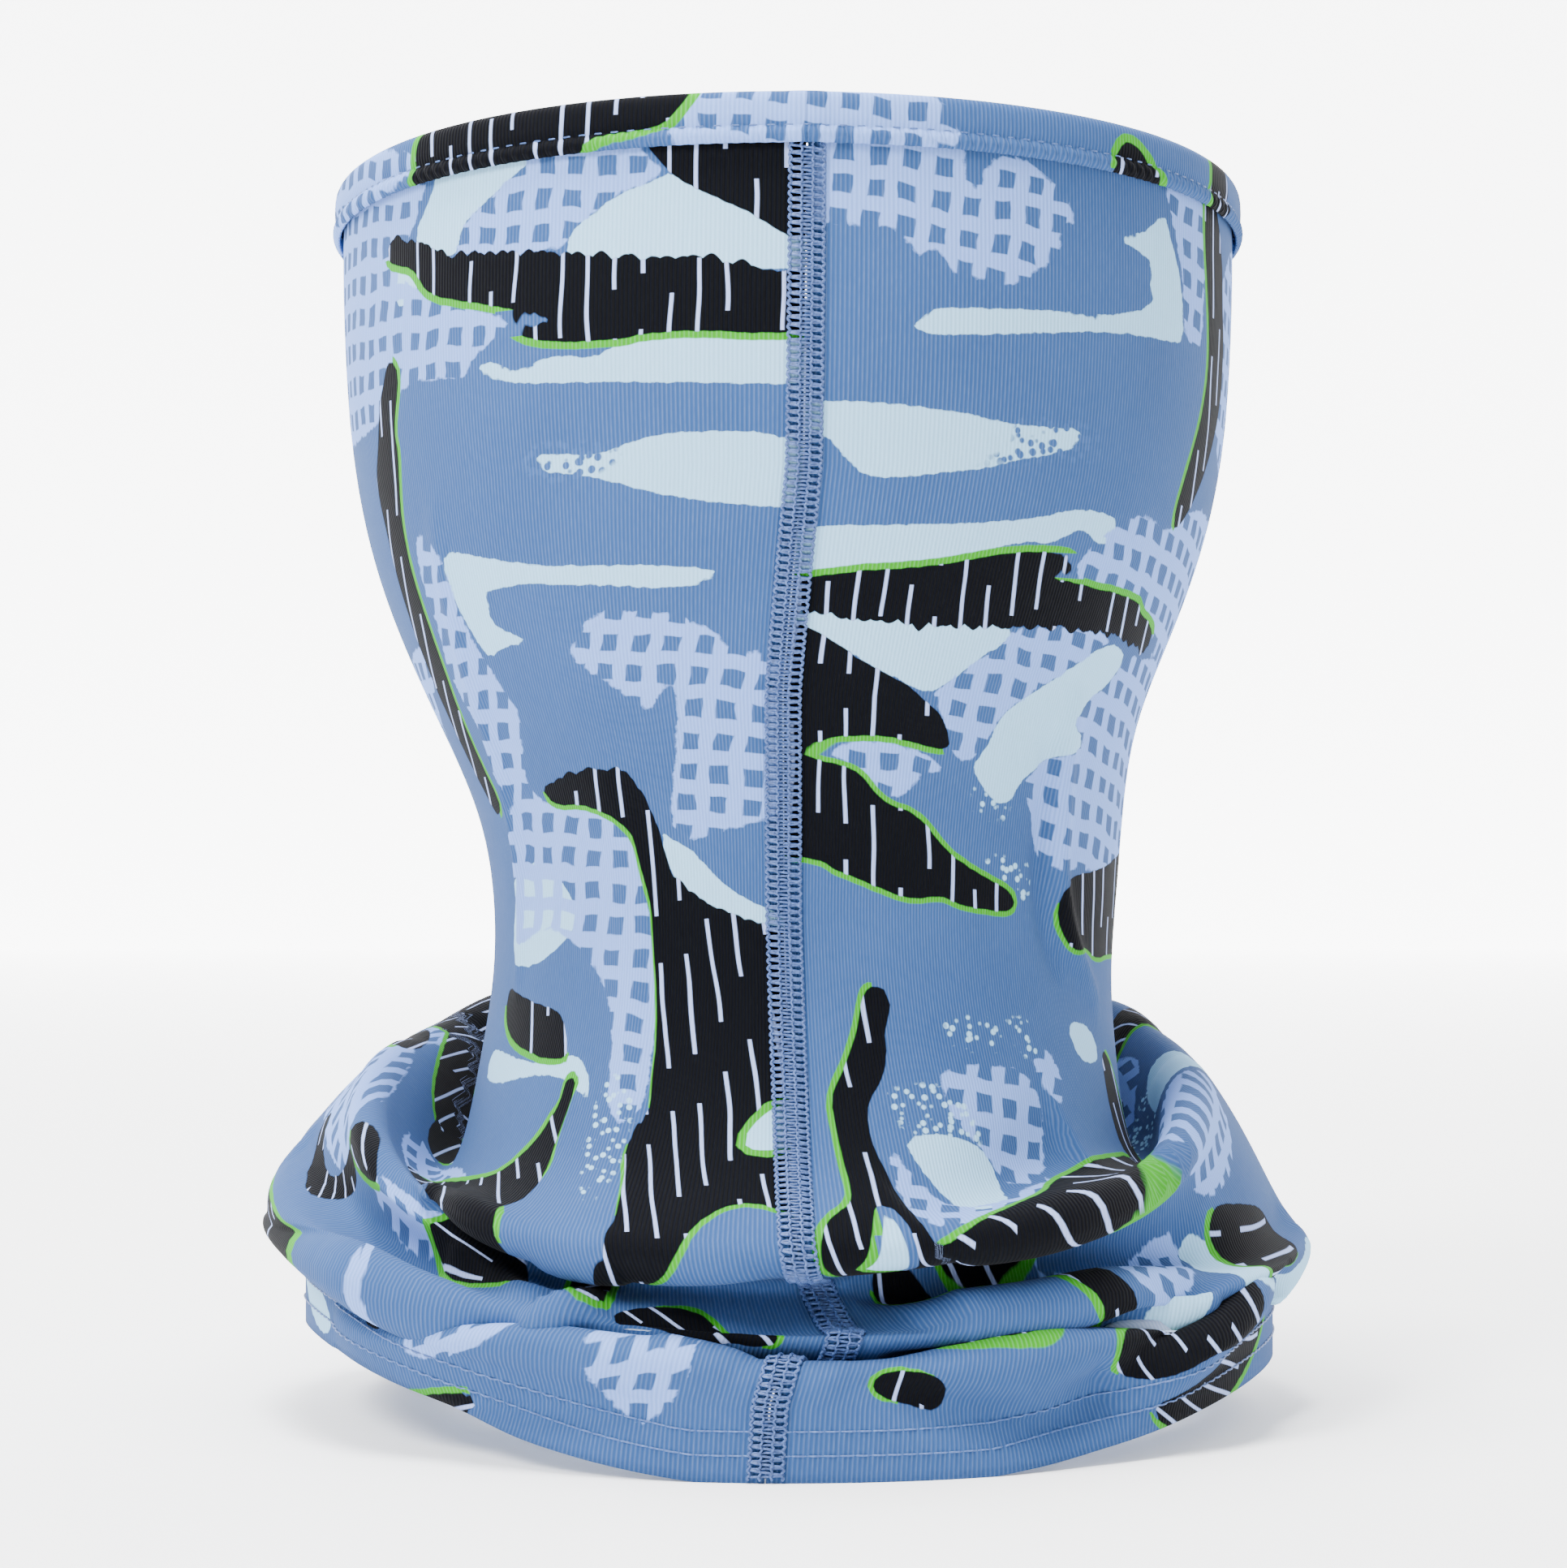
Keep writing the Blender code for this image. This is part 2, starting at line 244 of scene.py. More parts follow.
@dataclass
class WornCloth:
    """The panel's worn shape, as rings from the top edge down to the bottom hem."""

    # Each ring has its radius and height in mm at the back, right, front and left.
    upper_rings: tuple = (
        ((87.0, 82.0, 87.0, 82.0), (227.9, 220.4, 212.9, 220.4)),
        ((88.0, 82.3, 88.5, 82.3), (214.0, 208.0, 202.0, 208.0)),
        ((89.0, 81.8, 89.5, 81.8), (196.0, 192.0, 189.0, 192.0)),
        ((88.0, 80.6, 88.5, 80.6), (177.0, 175.0, 174.0, 175.0)),
        ((84.5, 77.0, 86.0, 77.5), (159.0, 158.0, 159.0, 158.0)),
        ((78.5, 71.0, 81.0, 72.0), (142.0, 142.0, 144.0, 142.0)),
        ((71.0, 64.0, 73.5, 64.5), (126.0, 126.0, 129.0, 126.0)),
        ((65.0, 62.0, 66.0, 56.8), (110.0, 110.0, 115.0, 110.0)),
        ((62.0, 61.0, 62.5, 54.2), (95.0, 95.0, 103.0, 95.0)),
    )
    fold_rings: tuple = (
        ((63.0, 59.5, 62.0, 54.2), (80.0, 80.0, 91.0, 79.0)),  # neck
        ((69.0, 60.5, 61.5, 57.0), (64.0, 64.0, 76.0, 63.0)),  # spreading at the nape
        ((79.0, 61.5, 62.0, 59.0), (52.0, 48.0, 59.0, 46.0)),  # slope, a valley elsewhere
        ((90.0, 65.0, 66.0, 63.0), (44.0, 45.0, 56.0, 43.5)),
        ((95.0, 70.0, 71.5, 69.0), (37.5, 59.0, 73.0, 57.0)),  # swag lip, the collar's crest
        ((89.0, 75.5, 77.5, 76.0), (32.5, 63.5, 79.0, 62.0)),
        ((75.0, 82.0, 85.0, 85.0), (32.5, 54.5, 71.0, 54.5)),  # first tuck, outer slope
        ((73.0, 88.0, 91.0, 93.0), (28.5, 43.5, 57.0, 44.0)),
        ((83.0, 92.5, 94.5, 95.8), (28.0, 35.0, 44.0, 35.5)),  # second lip, lower slope
        ((89.0, 96.0, 96.0, 97.3), (24.5, 32.0, 34.0, 35.5)),
        ((87.0, 96.0, 94.5, 96.5), (20.5, 29.3, 27.5, 33.6)),
        ((78.0, 93.8, 92.0, 94.3), (15.0, 27.8, 23.0, 32.4)),  # second tuck
        ((82.0, 92.0, 91.0, 92.0), (13.5, 26.5, 18.5, 31.4)),
        ((89.5, 90.8, 91.2, 90.3), (21.5, 25.4, 16.2, 30.3)),
        ((94.5, 90.0, 91.5, 89.4), (18.5, 24.2, 14.0, 29.2)),
    )
    hem_radius: tuple = (93.0, 89.5, 91.5, 89.0)
    # The hem's edge, at eight places turning to the right. Heights under zero lie on the floor.
    hem_edge: tuple = (-1.2, 5.2, 10.5, 3.5, -1.2, 4.0, 16.0, 10.6)
    hem_height: float = 11.0  # mm
    girth: float = GIRTH
    worn_share: float = 0.85  # the worn tube's girth as a share of that, for the folds' widths
    slit: float = 0.3  # mm between the panel's two edges, under the seam
    # How far the cloth is turned, in degrees to the right, at these mm down it.
    twist: tuple = (
        (0, 2.1), (60, 1.7), (100, -0.7), (140, -0.7), (170, 0.2), (203, 0.8), (222, 2.8),
        (240, 6.6), (252, 4.6), (262, 0.6), (276, -1.9), (300, -2.8),
    )
    columns: int = 288
    crowding: float = 0.25  # how much closer the columns lie at the back than round the front
    upper_steps: int = 8  # rows for each ring
    fold_steps: int = 6
    hem_steps: int = 6
    ridges: tuple[Ridge, ...] = ()
    points: np.ndarray = field(init=False)  # (column, row, xyz) in metres
    normals: np.ndarray = field(init=False)
    degrees: np.ndarray = field(init=False)  # (column, row), from 0 at the seam round to 360
    down: np.ndarray = field(init=False)  # (column, row), mm of cloth from the top edge

    def __post_init__(self) -> None:
        """Works out the grid of points, with its folds."""
        half_slit = self.slit / self.girth * FULL_TURN / 2
        turns = np.linspace(0, 2 * math.pi, self.columns + 1)
        shares = (turns - self.crowding * np.sin(turns)) / (2 * math.pi)
        degrees = half_slit + (FULL_TURN - 2 * half_slit) * shares
        plain = self.rings(np.repeat(np.radians(degrees)[:, None], self.row_count(), axis=1))
        turn = np.interp(self.lengths(plain)[0], *np.transpose(self.twist))
        self.degrees = np.repeat(degrees[:, None], self.row_count(), axis=1)
        points = self.rings(np.radians(self.degrees + turn))
        self.down = self.lengths(points)
        self.points = points
        self.normals = self.outward(points)
        lift = self.folds()
        self.points = points + self.normals * lift[..., None] * MM
        self.points[..., 2] = np.maximum(self.points[..., 2], 0)
        self.normals = self.outward(self.points)

    def row_count(self) -> int:
        """How many rows of points the panel has, top edge and bottom edge included."""
        folds = len(self.fold_rings) * self.fold_steps
        return len(self.upper_rings) * self.upper_steps + folds + 1 + self.hem_steps

    def rings(self, angles: np.ndarray) -> np.ndarray:
        """The plain rings' surface, before its folds.

        Args:
            angles: radians from the seam, by column and row.

        Returns:
            Points by column and row, in metres.
        """
        table = self.upper_rings + self.fold_rings
        split, count = len(self.upper_rings), len(table) + 1
        steps = np.concatenate(
            [
                np.arange(split * self.upper_steps) / self.upper_steps,
                split + np.arange((count - 1 - split) * self.fold_steps + 1) / self.fold_steps,
            ]
        )
        weights = spline_weights(count, steps)
        above, below = angles[:, : len(steps)], angles[:, len(steps) :]
        radii = around(self.hem_radius, above) * weights[:, -1]
        heights = (np.maximum(0, around(self.hem_edge, above)) + self.hem_height) * weights[:, -1]
        for i, (radius, height) in enumerate(table):
            radii += around(radius, above) * weights[:, i]
            heights += around(height, above) * weights[:, i]
        drop = 1 - np.linspace(0, 1, self.hem_steps + 1)[1:]
        hem_heights = np.maximum(0, around(self.hem_edge, below)) + self.hem_height * drop
        radii = np.hstack([radii, around(self.hem_radius, below)])
        heights = np.hstack([heights, hem_heights])
        return np.stack([radii * np.sin(angles), -radii * np.cos(angles), heights], axis=2) * MM

    def lengths(self, points: np.ndarray) -> np.ndarray:
        """Millimetres of cloth from the top edge down to each point."""
        steps = np.linalg.norm(np.diff(points, axis=1), axis=2) / MM
        return np.hstack([np.zeros((len(points), 1)), np.cumsum(steps, axis=1)])

    def outward(self, points: np.ndarray) -> np.ndarray:
        """The directions out of the tube.

        Args:
            points: the grid, by column and row.

        Returns:
            A unit normal for each point.
        """
        wrapped = np.concatenate([points[-2:-1], points, points[1:2]])  # across the seam's slit
        across = wrapped[2:] - wrapped[:-2]
        along = np.gradient(points, axis=1)
        normals = np.cross(along, across)
        return normals / np.linalg.norm(normals, axis=2, keepdims=True)

    def folds(self) -> np.ndarray:
        """How far the folds lift the cloth out of the plain surface.

        Returns:
            Millimetres, by column and row.
        """
        flat = self.girth / FULL_TURN * self.worn_share  # mm of worn cloth to a degree
        at = np.stack([self.degrees * flat, self.down], axis=2)
        lift = np.zeros(self.down.size)
        for ridge in self.ridges:
            path = smooth_path(ridge.path, closed=False) * (flat, 1)
            for turn in (0, 1):
                distance, side, share, _ = nearest_on_path(
                    at.reshape(-1, 2), path + (turn * FULL_TURN * flat, 0)
                )
                width = np.where(side > 0, ridge.below, ridge.above)
                height = ridge.lift * np.sin(np.pi * share) ** 0.7
                lift += height * np.exp(-((distance / width) ** 2))
        return lift.reshape(self.down.shape)

    def beside_seam(self, across: float) -> tuple[np.ndarray, np.ndarray, np.ndarray]:
        """A line down the cloth at a fixed distance from the seam.

        Args:
            across: mm to the right of the seam, or to its left where it is below zero.

        Returns:
            The line's points in metres, the cloth's normals there, and its mm down the cloth.
        """
        near = 6  # columns to either side of the slit
        points = np.concatenate([self.points[-near:], self.points[:near]])
        normals = np.concatenate([self.normals[-near:], self.normals[:near]])
        steps = np.linalg.norm(np.diff(points, axis=0), axis=2) / MM
        place = np.vstack([np.zeros(steps.shape[1]), np.cumsum(steps, axis=0)])
        place -= (place[near - 1] + place[near]) / 2
        line, facing = [], []
        for row in range(points.shape[1]):
            line.append([np.interp(across, place[:, row], points[:, row, i]) for i in range(3)])
            facing.append([np.interp(across, place[:, row], normals[:, row, i]) for i in range(3)])
        return np.array(line), np.array(facing), (self.down[0] + self.down[-1]) / 2

    def round_row(self, row: int, degrees: np.ndarray) -> tuple[np.ndarray, np.ndarray]:
        """Points and normals round one row of the cloth.

        Args:
            row: the row's number, counted from the top edge.
            degrees: places round it from the seam, from 0 to 360.

        Returns:
            The points in metres and the cloth's normals there.
        """
        known = self.degrees[:, row]
        found = []
        for grid in (self.points, self.normals):
            lines = [np.interp(degrees, known, line, period=FULL_TURN) for line in grid[:, row].T]
            found.append(np.transpose(lines))
        return found[0], found[1]


# Folds of the worn cloth

FOLDS = (
    # Left side, from the inside of the collar outwards
    Ridge(((-52, 197), (-46, 198), (-40, 202), (-31, 209), (-20, 210)), 3.4, 6.0, 6.0),
    Ridge(((-51, 202), (-45, 205), (-36, 216), (-31, 229)), -4.6, 5.0, 5.2),
    Ridge(((-110, 204), (-75, 204), (-60, 204), (-50, 207), (-42, 213), (-34, 226)), 4.2, 4.0, 4.0),
    Ridge(((-96, 224), (-65, 213), (-53, 213), (-43, 218), (-38, 226), (-35, 230)), -6.2, 4.6, 5.0),
    Ridge(((-98, 231), (-64, 222), (-52, 224), (-42, 232), (-30, 243), (-14, 250)), 6.9, 7.0, 6.5),
    Ridge(((-66, 236), (-58, 236), (-50, 239), (-40, 246), (-24, 256), (-12, 264)), -5.4, 4.6, 5.0),
    Ridge(((-60, 246), (-44, 249), (-30, 257), (-16, 266), (-4, 272)), 4.2, 4.0, 4.0),
    Ridge(((-50, 211), (-42, 219), (-34, 226), (-27, 230)), 4.6, 5.0, 5.0),
    Ridge(((-32, 209), (-24, 213), (-16, 213), (-5, 209)), 2.6, 5.0, 5.0),
    Ridge(((-31, 237), (-22, 238), (-11, 238), (2, 238), (14, 237)), -4.2, 7.0, 6.0),
    Ridge(((-62, 256), (-46, 262), (-32, 269), (-20, 277), (-10, 281)), -3.0, 4.0, 4.5),
    # Right side
    Ridge(((12, 195), (22, 190), (32, 183), (40, 179), (44, 178)), -4.2, 9.0, 5.0),
    Ridge(((16, 205), (26, 201), (36, 195), (50, 191), (70, 190), (95, 193)), 4.2, 7.0, 8.0),
    Ridge((
        (4, 225), (17, 225), (25, 220), (31, 216), (42, 211), (52, 208), (62, 216), (84, 228),
    ), -6.0, 4.4, 4.8),
    Ridge(((8, 236), (20, 232), (30, 225), (38, 217), (46, 213), (54, 210)), 4.8, 4.5, 4.5),
    Ridge((
        (5, 252), (14, 250), (23, 246), (31, 240), (37, 231), (45, 220), (54, 212),
    ), -5.0, 3.6, 4.0),
    Ridge(((4, 262), (18, 259), (28, 252), (36, 241), (42, 233), (50, 224)), 4.5, 4.0, 4.0),
    Ridge((
        (6, 274), (20, 273), (31, 268), (37, 258), (44, 247), (52, 234), (70, 230),
    ), -4.4, 3.6, 4.0),
    Ridge(((38, 254), (45, 249), (54, 241), (68, 236), (84, 236)), 5.1, 4.5, 5.0),
    # Neck pleats
    Ridge(((-51, 60), (-52, 90), (-53, 110), (-56, 130), (-58, 152)), 1.6, 2.4, 2.4),
    Ridge(((-29, 112), (-27, 140), (-24, 170), (-21, 200)), 1.3, 6.0, 6.0),
    Ridge(((48, 96), (49, 115), (50, 131), (56, 143), (66, 152)), 2.2, 3.0, 3.0),
    Ridge(((44, 104), (45, 120), (46, 134), (51, 148)), -1.8, 3.0, 3.0),
    # Front
    Ridge(((110, 196), (140, 200), (170, 196), (205, 199), (238, 195)), 3.2, 6.0, 6.0),
    Ridge(((96, 210), (130, 216), (165, 211), (200, 216), (240, 209)), -3.4, 4.5, 4.5),
    Ridge(((100, 228), (140, 226), (180, 231), (222, 226), (258, 230)), 3.4, 6.0, 6.5),
    Ridge(((105, 246), (140, 243), (175, 247), (215, 242), (250, 246)), -2.8, 4.0, 4.0),
    Ridge(((150, 70), (156, 110), (166, 150)), 1.5, 6.0, 6.0),
    Ridge(((214, 60), (208, 105), (200, 148)), 1.5, 6.0, 6.0),
)


# The print


class Ink(Enum):
    """The print's layers."""

    ICE = "ice"
    GRID = "grid"
    DOTS = "dots"
    BLACK = "black"
    HOLES = "holes"  # spots of plain cloth left in the ice
    INLAY = "inlay"  # an ice shape with a green border, set into a black one


class Edge(Enum):
    """The side of a black shape that a border runs along, as (right, down)."""

    NONE = (0, 0)
    ABOVE = (0, -1)
    BELOW = (0, 1)
    LEFT = (-1, 0)
    RIGHT = (1, 0)
    ROUND = (1, 1)


@dataclass(frozen=True)
class Motif:
    """One shape of the print, drawn on the cloth."""

    ink: Ink
    outline: tuple[tuple[float, float], ...]  # (degrees from the seam, mm down the cloth)
    green: float = 0.0  # mm, the width of its green border
    green_edge: Edge = Edge.NONE
    ragged: float = 0.15  # mm, how far its scalloped edge wanders
    ragged_edge: Edge = Edge.NONE
    slant: float = 0.0  # degrees, how far its dashes turn from running down the cloth
    copies: tuple[tuple[float, float], ...] = ()  # repeats, as (degrees, mm down) from the first


PANEL_PRINT = (
    # In the hollow under the lip
    Motif(Ink.BLACK, (
        (-27, 233), (-22, 239), (-15, 244), (-7.5, 247), (-7, 243), (-13, 239), (-14.5, 233),
        (-18, 230), (-24, 230),
    ), 1.0, Edge.RIGHT, slant=40),
    # Left of the seam, from the top down
    Motif(Ink.BLACK, (
        (-18.7, 0), (-18.7, 5), (-16, 9.8), (-13.5, 13), (-9.7, 15.8), (-5.5, 18.8), (-1.5, 23.2),
        (3, 24), (3, 0),
    ), copies=((180, 0),)),
    Motif(Ink.BLACK, (
        (-58.5, 13.5), (-56, 13.5), (-53.5, 15.5), (-48.3, 16.5), (-47.5, 18.5), (-43.5, 20.3),
        (-33.7, 21.6), (-25.3, 23.3), (-18.2, 24.6), (-11.3, 24.6), (-6.6, 26.4), (-1.5, 27.6),
        (3, 28), (3, 38.3), (-7, 38.4), (-10.5, 37.7), (-18.5, 37.8), (-20.2, 38.7), (-29.2, 38.1),
        (-33.5, 36.3), (-34.8, 34.5), (-33.5, 33.4), (-29.5, 33.8), (-31.8, 32.6), (-35.5, 31.2),
        (-40.2, 29.5), (-44.6, 28), (-49.5, 25.8), (-52, 21), (-56, 19.5), (-59, 18),
    ), 1.2, Edge.BELOW, 0.7, Edge.ABOVE, copies=((180, 0),)),
    Motif(Ink.ICE, (
        (-48, 0), (-47.5, 6), (-49.5, 11), (-52, 15), (-50, 20), (-43.5, 21), (-43, 17.5),
        (-42.3, 15.3), (-37.5, 11.5), (-34.2, 8.3), (-30, 5), (-30, 0),
    ), copies=((180, 0),)),
    Motif(Ink.GRID, (
        (-31, 0), (-19, 0), (-19, 7), (-15.3, 11), (-17, 12.5), (-20.5, 13.8), (-23, 16.3),
        (-26, 18.7), (-27.5, 23), (-45, 21), (-43, 17), (-42, 15), (-37.5, 11.5), (-34, 8),
    ), copies=((180, 0),)),
    Motif(Ink.ICE, (
        (-15.3, 11), (-13.5, 12), (-9.7, 14), (-5.5, 17), (-1.5, 21), (3, 22), (3, 29), (-27, 25),
        (-27.3, 21.5), (-26, 18.7), (-23, 16.3), (-20.5, 13.8), (-17, 12.5),
    ), copies=((180, 0),)),
    Motif(Ink.GRID, (
        (-49.5, 0), (-49.5, 6), (-52, 14), (-57, 20), (-50, 26), (-45.8, 27.6), (-38.3, 31.5),
        (-34, 33.3), (-38.8, 37), (-41.7, 39.8), (-41.7, 42), (-50, 40.3), (-54.7, 40.3),
        (-62.5, 45.5), (-75, 46), (-100, 44), (-108, 30), (-100, 0),
    ), copies=((172, 6),)),
    Motif(Ink.ICE, ((-57, 20), (-52, 20.5), (-50.5, 24.5), (-55, 27), (-56.5, 26))),
    Motif(Ink.ICE, (
        (-40.7, 41.7), (-38.4, 39.2), (-33.7, 42.3), (-30, 40.3), (-27.3, 40.5), (-24, 41.2),
        (-22, 40), (-18, 38), (3, 38), (3, 46.8), (-9.6, 46.5), (-17.7, 45.8), (-25.3, 45),
        (-32.7, 44.5), (-37.5, 42.8),
    ), copies=((180, 0),)),
    Motif(Ink.ICE, (
        (2, 57), (-3.7, 55), (-7, 54.4), (-15.5, 54.4), (-19, 55.5), (-23, 57.2), (-28, 57),
        (-31.2, 56.3), (-32.5, 58), (-31.5, 59.4), (-26.2, 60.5), (-22.5, 61.8), (-17.7, 64),
        (-10.3, 66.3), (-1.5, 67.4), (2, 67.4),
    ), copies=((180, 0), (228, 12))),
    Motif(Ink.HOLES, ((-34, 54), (-22, 55), (-20, 58), (-26, 62), (-34, 61))),
    Motif(Ink.BLACK, (
        (-59, 34.5), (-56.5, 37), (-56.5, 40.5), (-58.8, 48), (-58, 51), (-59, 56.5), (-60.5, 65),
        (-60.5, 75), (-60, 84), (-60, 91), (-60.5, 97), (-61, 104), (-60, 112), (-58, 118),
        (-62, 120), (-66, 112), (-68, 104), (-68, 84), (-67, 65), (-68, 55), (-65, 49.5),
        (-63.3, 43.5), (-61.3, 39.5),
    ), 1.0, Edge.RIGHT, copies=((-64, 8), (196, -6))),
    Motif(Ink.ICE, (
        (-50.3, 70), (-42, 73), (-34.5, 75), (-29.3, 76), (-21.3, 76.5), (-13.8, 77), (-9.9, 77.7),
        (-8.6, 79.2), (-10.5, 80.3), (-15.5, 81), (-20.5, 80.2), (-29.5, 79.3), (-34.5, 78.4),
        (-41, 78.6), (-43.5, 79.4), (-43.8, 80), (-42.3, 81.8), (-43.3, 83.5), (-42.5, 85.3),
        (-38.6, 87.5), (-36.3, 89), (-42, 89.2), (-45.8, 91.4), (-48.2, 85), (-49.5, 81),
        (-50, 76),
    ), copies=((-86, 4), (196, 0))),
    Motif(Ink.GRID, (
        (-57, 65), (-50.2, 70), (-49.5, 81), (-48.3, 87.5), (-46, 93), (-44.5, 97), (-42.5, 100.5),
        (-43, 104), (-45, 109), (-47, 117), (-52, 117), (-54, 112), (-55, 104), (-58, 96),
        (-58.5, 90), (-57, 84), (-58, 75),
    ), copies=((-72, 8),)),
    Motif(Ink.GRID, (
        (-30.5, 91.3), (-27.3, 88.5), (-26.5, 85.7), (-22.2, 84.2), (-18, 85), (-13, 85.5),
        (-12.3, 87.3), (-9, 88.2), (-8.5, 91.3), (-5.5, 92.4), (2, 94), (2, 122), (-8.6, 124.8),
        (-15, 127), (-16.8, 126), (-17.5, 123), (-17, 118), (-15.8, 113), (-15.3, 108),
        (-14.2, 100.5), (-16, 96), (-16.5, 100.3), (-18.8, 102.8), (-20.5, 101.8), (-23.5, 98.3),
        (-28, 94.4),
    ), copies=((-92, 6), (-168, -8))),
    Motif(Ink.BLACK, (
        (-43, 116), (-40, 114.8), (-35, 113.3), (-30, 112.7), (-27.3, 112.8), (-24, 113.8),
        (-22, 116.5), (-21.3, 119.6), (-19.7, 125.5), (-18.8, 130.5), (-17, 134), (-14.6, 136),
        (-10.5, 138.6), (-7.2, 139.5), (-3, 141.5), (3, 142), (3, 199), (-2, 196.5), (-5, 195),
        (-8, 196.5), (-10.5, 200), (-12.5, 206), (-16, 211), (-20, 215.5), (-23, 219), (-25, 218),
        (-25, 213), (-23, 209), (-20.3, 203), (-19.8, 197), (-20.3, 190), (-21.6, 184),
        (-21, 177.5), (-19.4, 177), (-20, 170), (-20.4, 160), (-21.3, 150), (-22, 142),
        (-22.3, 137), (-23.4, 133), (-24, 129), (-24.7, 125.3), (-26.5, 123), (-29.5, 121),
        (-33.8, 119.6), (-40.8, 119.5),
    ), 0.9, Edge.BELOW, 0.5, Edge.ABOVE, 4, copies=((-104, -6), (146, -4))),
    Motif(Ink.INLAY, (
        (2, 171.5), (-2.5, 172.5), (-6, 177), (-7.3, 181.5), (-5.5, 184.8), (2, 183.5),
    )),
    Motif(Ink.ICE, (
        (-19.8, 125), (-17.7, 126.7), (-14.7, 128.4), (-12.6, 131.2), (-9.3, 134.8), (-5.5, 137.5),
        (2, 140.5), (2, 142), (-15, 140), (-19, 131),
    )),
    Motif(Ink.GRID, (
        (-43, 119.5), (-33.8, 119.5), (-29.5, 121), (-26.5, 123), (-24.7, 125.5), (-23.4, 133),
        (-22, 142), (-20.8, 152), (-20.5, 165), (-20.6, 176), (-24, 179), (-27, 172), (-28, 160),
        (-31, 152), (-37, 145), (-48, 140), (-60, 145), (-58, 128), (-54, 120), (-48, 113),
    ), ragged=0.5, copies=((-90, 0),)),
    Motif(Ink.DOTS, ((-29, 168), (-22, 170), (-21.5, 180), (-22, 194), (-25, 196), (-28.5, 184))),
    Motif(Ink.ICE, (
        (-50, 128), (-44, 131), (-38, 138), (-40, 143), (-52, 148), (-62, 146), (-60, 134),
    )),
    # Left side of the base
    Motif(Ink.BLACK, (
        (-63, 150), (-55, 152.5), (-48, 154.5), (-41, 156), (-39, 160), (-37, 164.5), (-42, 165),
        (-51, 162.5), (-57, 160), (-62, 156),
    ), 1.1, Edge.BELOW, copies=((-40, 4), (232, 2))),
    Motif(Ink.ICE, (
        (-66, 161), (-55, 163.5), (-42, 166), (-36, 163.5), (-32, 167), (-30.3, 173.5), (-33, 171),
        (-38, 167.8), (-48, 168), (-58, 168.5), (-66, 167),
    ), copies=((-46, 6),)),
    Motif(Ink.BLACK, (
        (-36.5, 168), (-34, 168.5), (-34.3, 175), (-34.5, 181), (-33.5, 188), (-34, 194),
        (-36, 198), (-34, 203), (-35, 206.5), (-40, 204.5), (-46, 201), (-56, 197), (-66, 196),
        (-66, 188), (-55, 188), (-48, 188), (-44, 187), (-40, 182), (-38, 178), (-36.5, 173),
    ), 1.2, Edge.ABOVE, slant=14),
    Motif(Ink.BLACK, (
        (-100, 179), (-88, 180), (-83, 186), (-88, 190), (-100, 188),
    ), 1.2, Edge.ABOVE, slant=60),
    Motif(Ink.GRID, (
        (-84, 184), (-60, 184), (-50, 189), (-42, 197), (-36, 206), (-44, 204), (-54, 196),
        (-84, 195),
    ), ragged=0.3, copies=((-66, 2),)),
    Motif(Ink.BLACK, (
        (-74, 203), (-69, 200.5), (-63, 201), (-60, 204), (-65, 207), (-73, 208),
    ), 1.2, Edge.BELOW, slant=70, copies=((-42, -2), (-70, 3))),
    Motif(Ink.GRID, (
        (-66, 206), (-59, 201), (-51, 202), (-49, 206), (-53, 212), (-64, 211),
    ), ragged=0.3),
    Motif(Ink.GRID, (
        (-112, 198), (-76, 200), (-73, 212), (-84, 216), (-104, 218),
    ), ragged=0.3, copies=((-60, 2),)),
    Motif(Ink.BLACK, (
        (-52, 206), (-48, 203.5), (-43, 207), (-38, 214), (-37, 221), (-43, 218), (-52, 212),
    ), 1.2, Edge.LEFT, slant=60),
    Motif(Ink.BLACK, (
        (-94, 213), (-88, 217.5), (-81, 218), (-76.5, 213), (-74, 206.5), (-70.5, 209), (-74, 216),
        (-79, 222), (-87, 222), (-94, 219),
    ), slant=55, copies=((-48, 8),)),
    Motif(Ink.GRID, (
        (-61, 215), (-57.5, 216), (-54.5, 222), (-53, 227), (-55.5, 226), (-59, 220),
    ), ragged=0.5),
    Motif(Ink.BLACK, (
        (-32.5, 215.5), (-28.5, 214.5), (-26.5, 217), (-26.5, 223), (-27, 231), (-30.5, 230),
        (-32.5, 223),
    ), 1.1, Edge.ROUND, slant=80),
    Motif(Ink.BLACK, (
        (-98, 231), (-78, 228), (-62, 231), (-57, 236), (-64, 240), (-80, 240), (-98, 238),
    ), 1.3, Edge.ABOVE, slant=70, copies=((-50, 0),)),
    Motif(Ink.ICE, ((-86, 243), (-70, 243), (-60, 249), (-66, 254), (-82, 250))),
    Motif(Ink.BLACK, (
        (-53, 240), (-44, 239.5), (-40.5, 243), (-44, 248.5), (-51, 247),
    ), 1.2, Edge.RIGHT, slant=40),
    Motif(Ink.GRID, ((-43, 248), (-33, 250), (-26, 256), (-32, 259), (-43, 255)), ragged=0.3),
    Motif(Ink.GRID, (
        (-21, 262), (-9, 265), (-9, 277), (-13, 283), (-17, 277), (-20, 270),
    ), ragged=0.4),
    Motif(Ink.BLACK, (
        (-56, 256), (-46, 260), (-37, 263.5), (-33, 267), (-38, 270), (-46, 266), (-56, 262),
    ), 1.1, Edge.ABOVE, slant=75, copies=((-58, -4),)),
    Motif(Ink.BLACK, (
        (-33, 283), (-29, 281), (-25.5, 283.5), (-25.5, 290), (-32, 291),
    ), 1.2, Edge.ABOVE, slant=70),
    Motif(Ink.BLACK, (
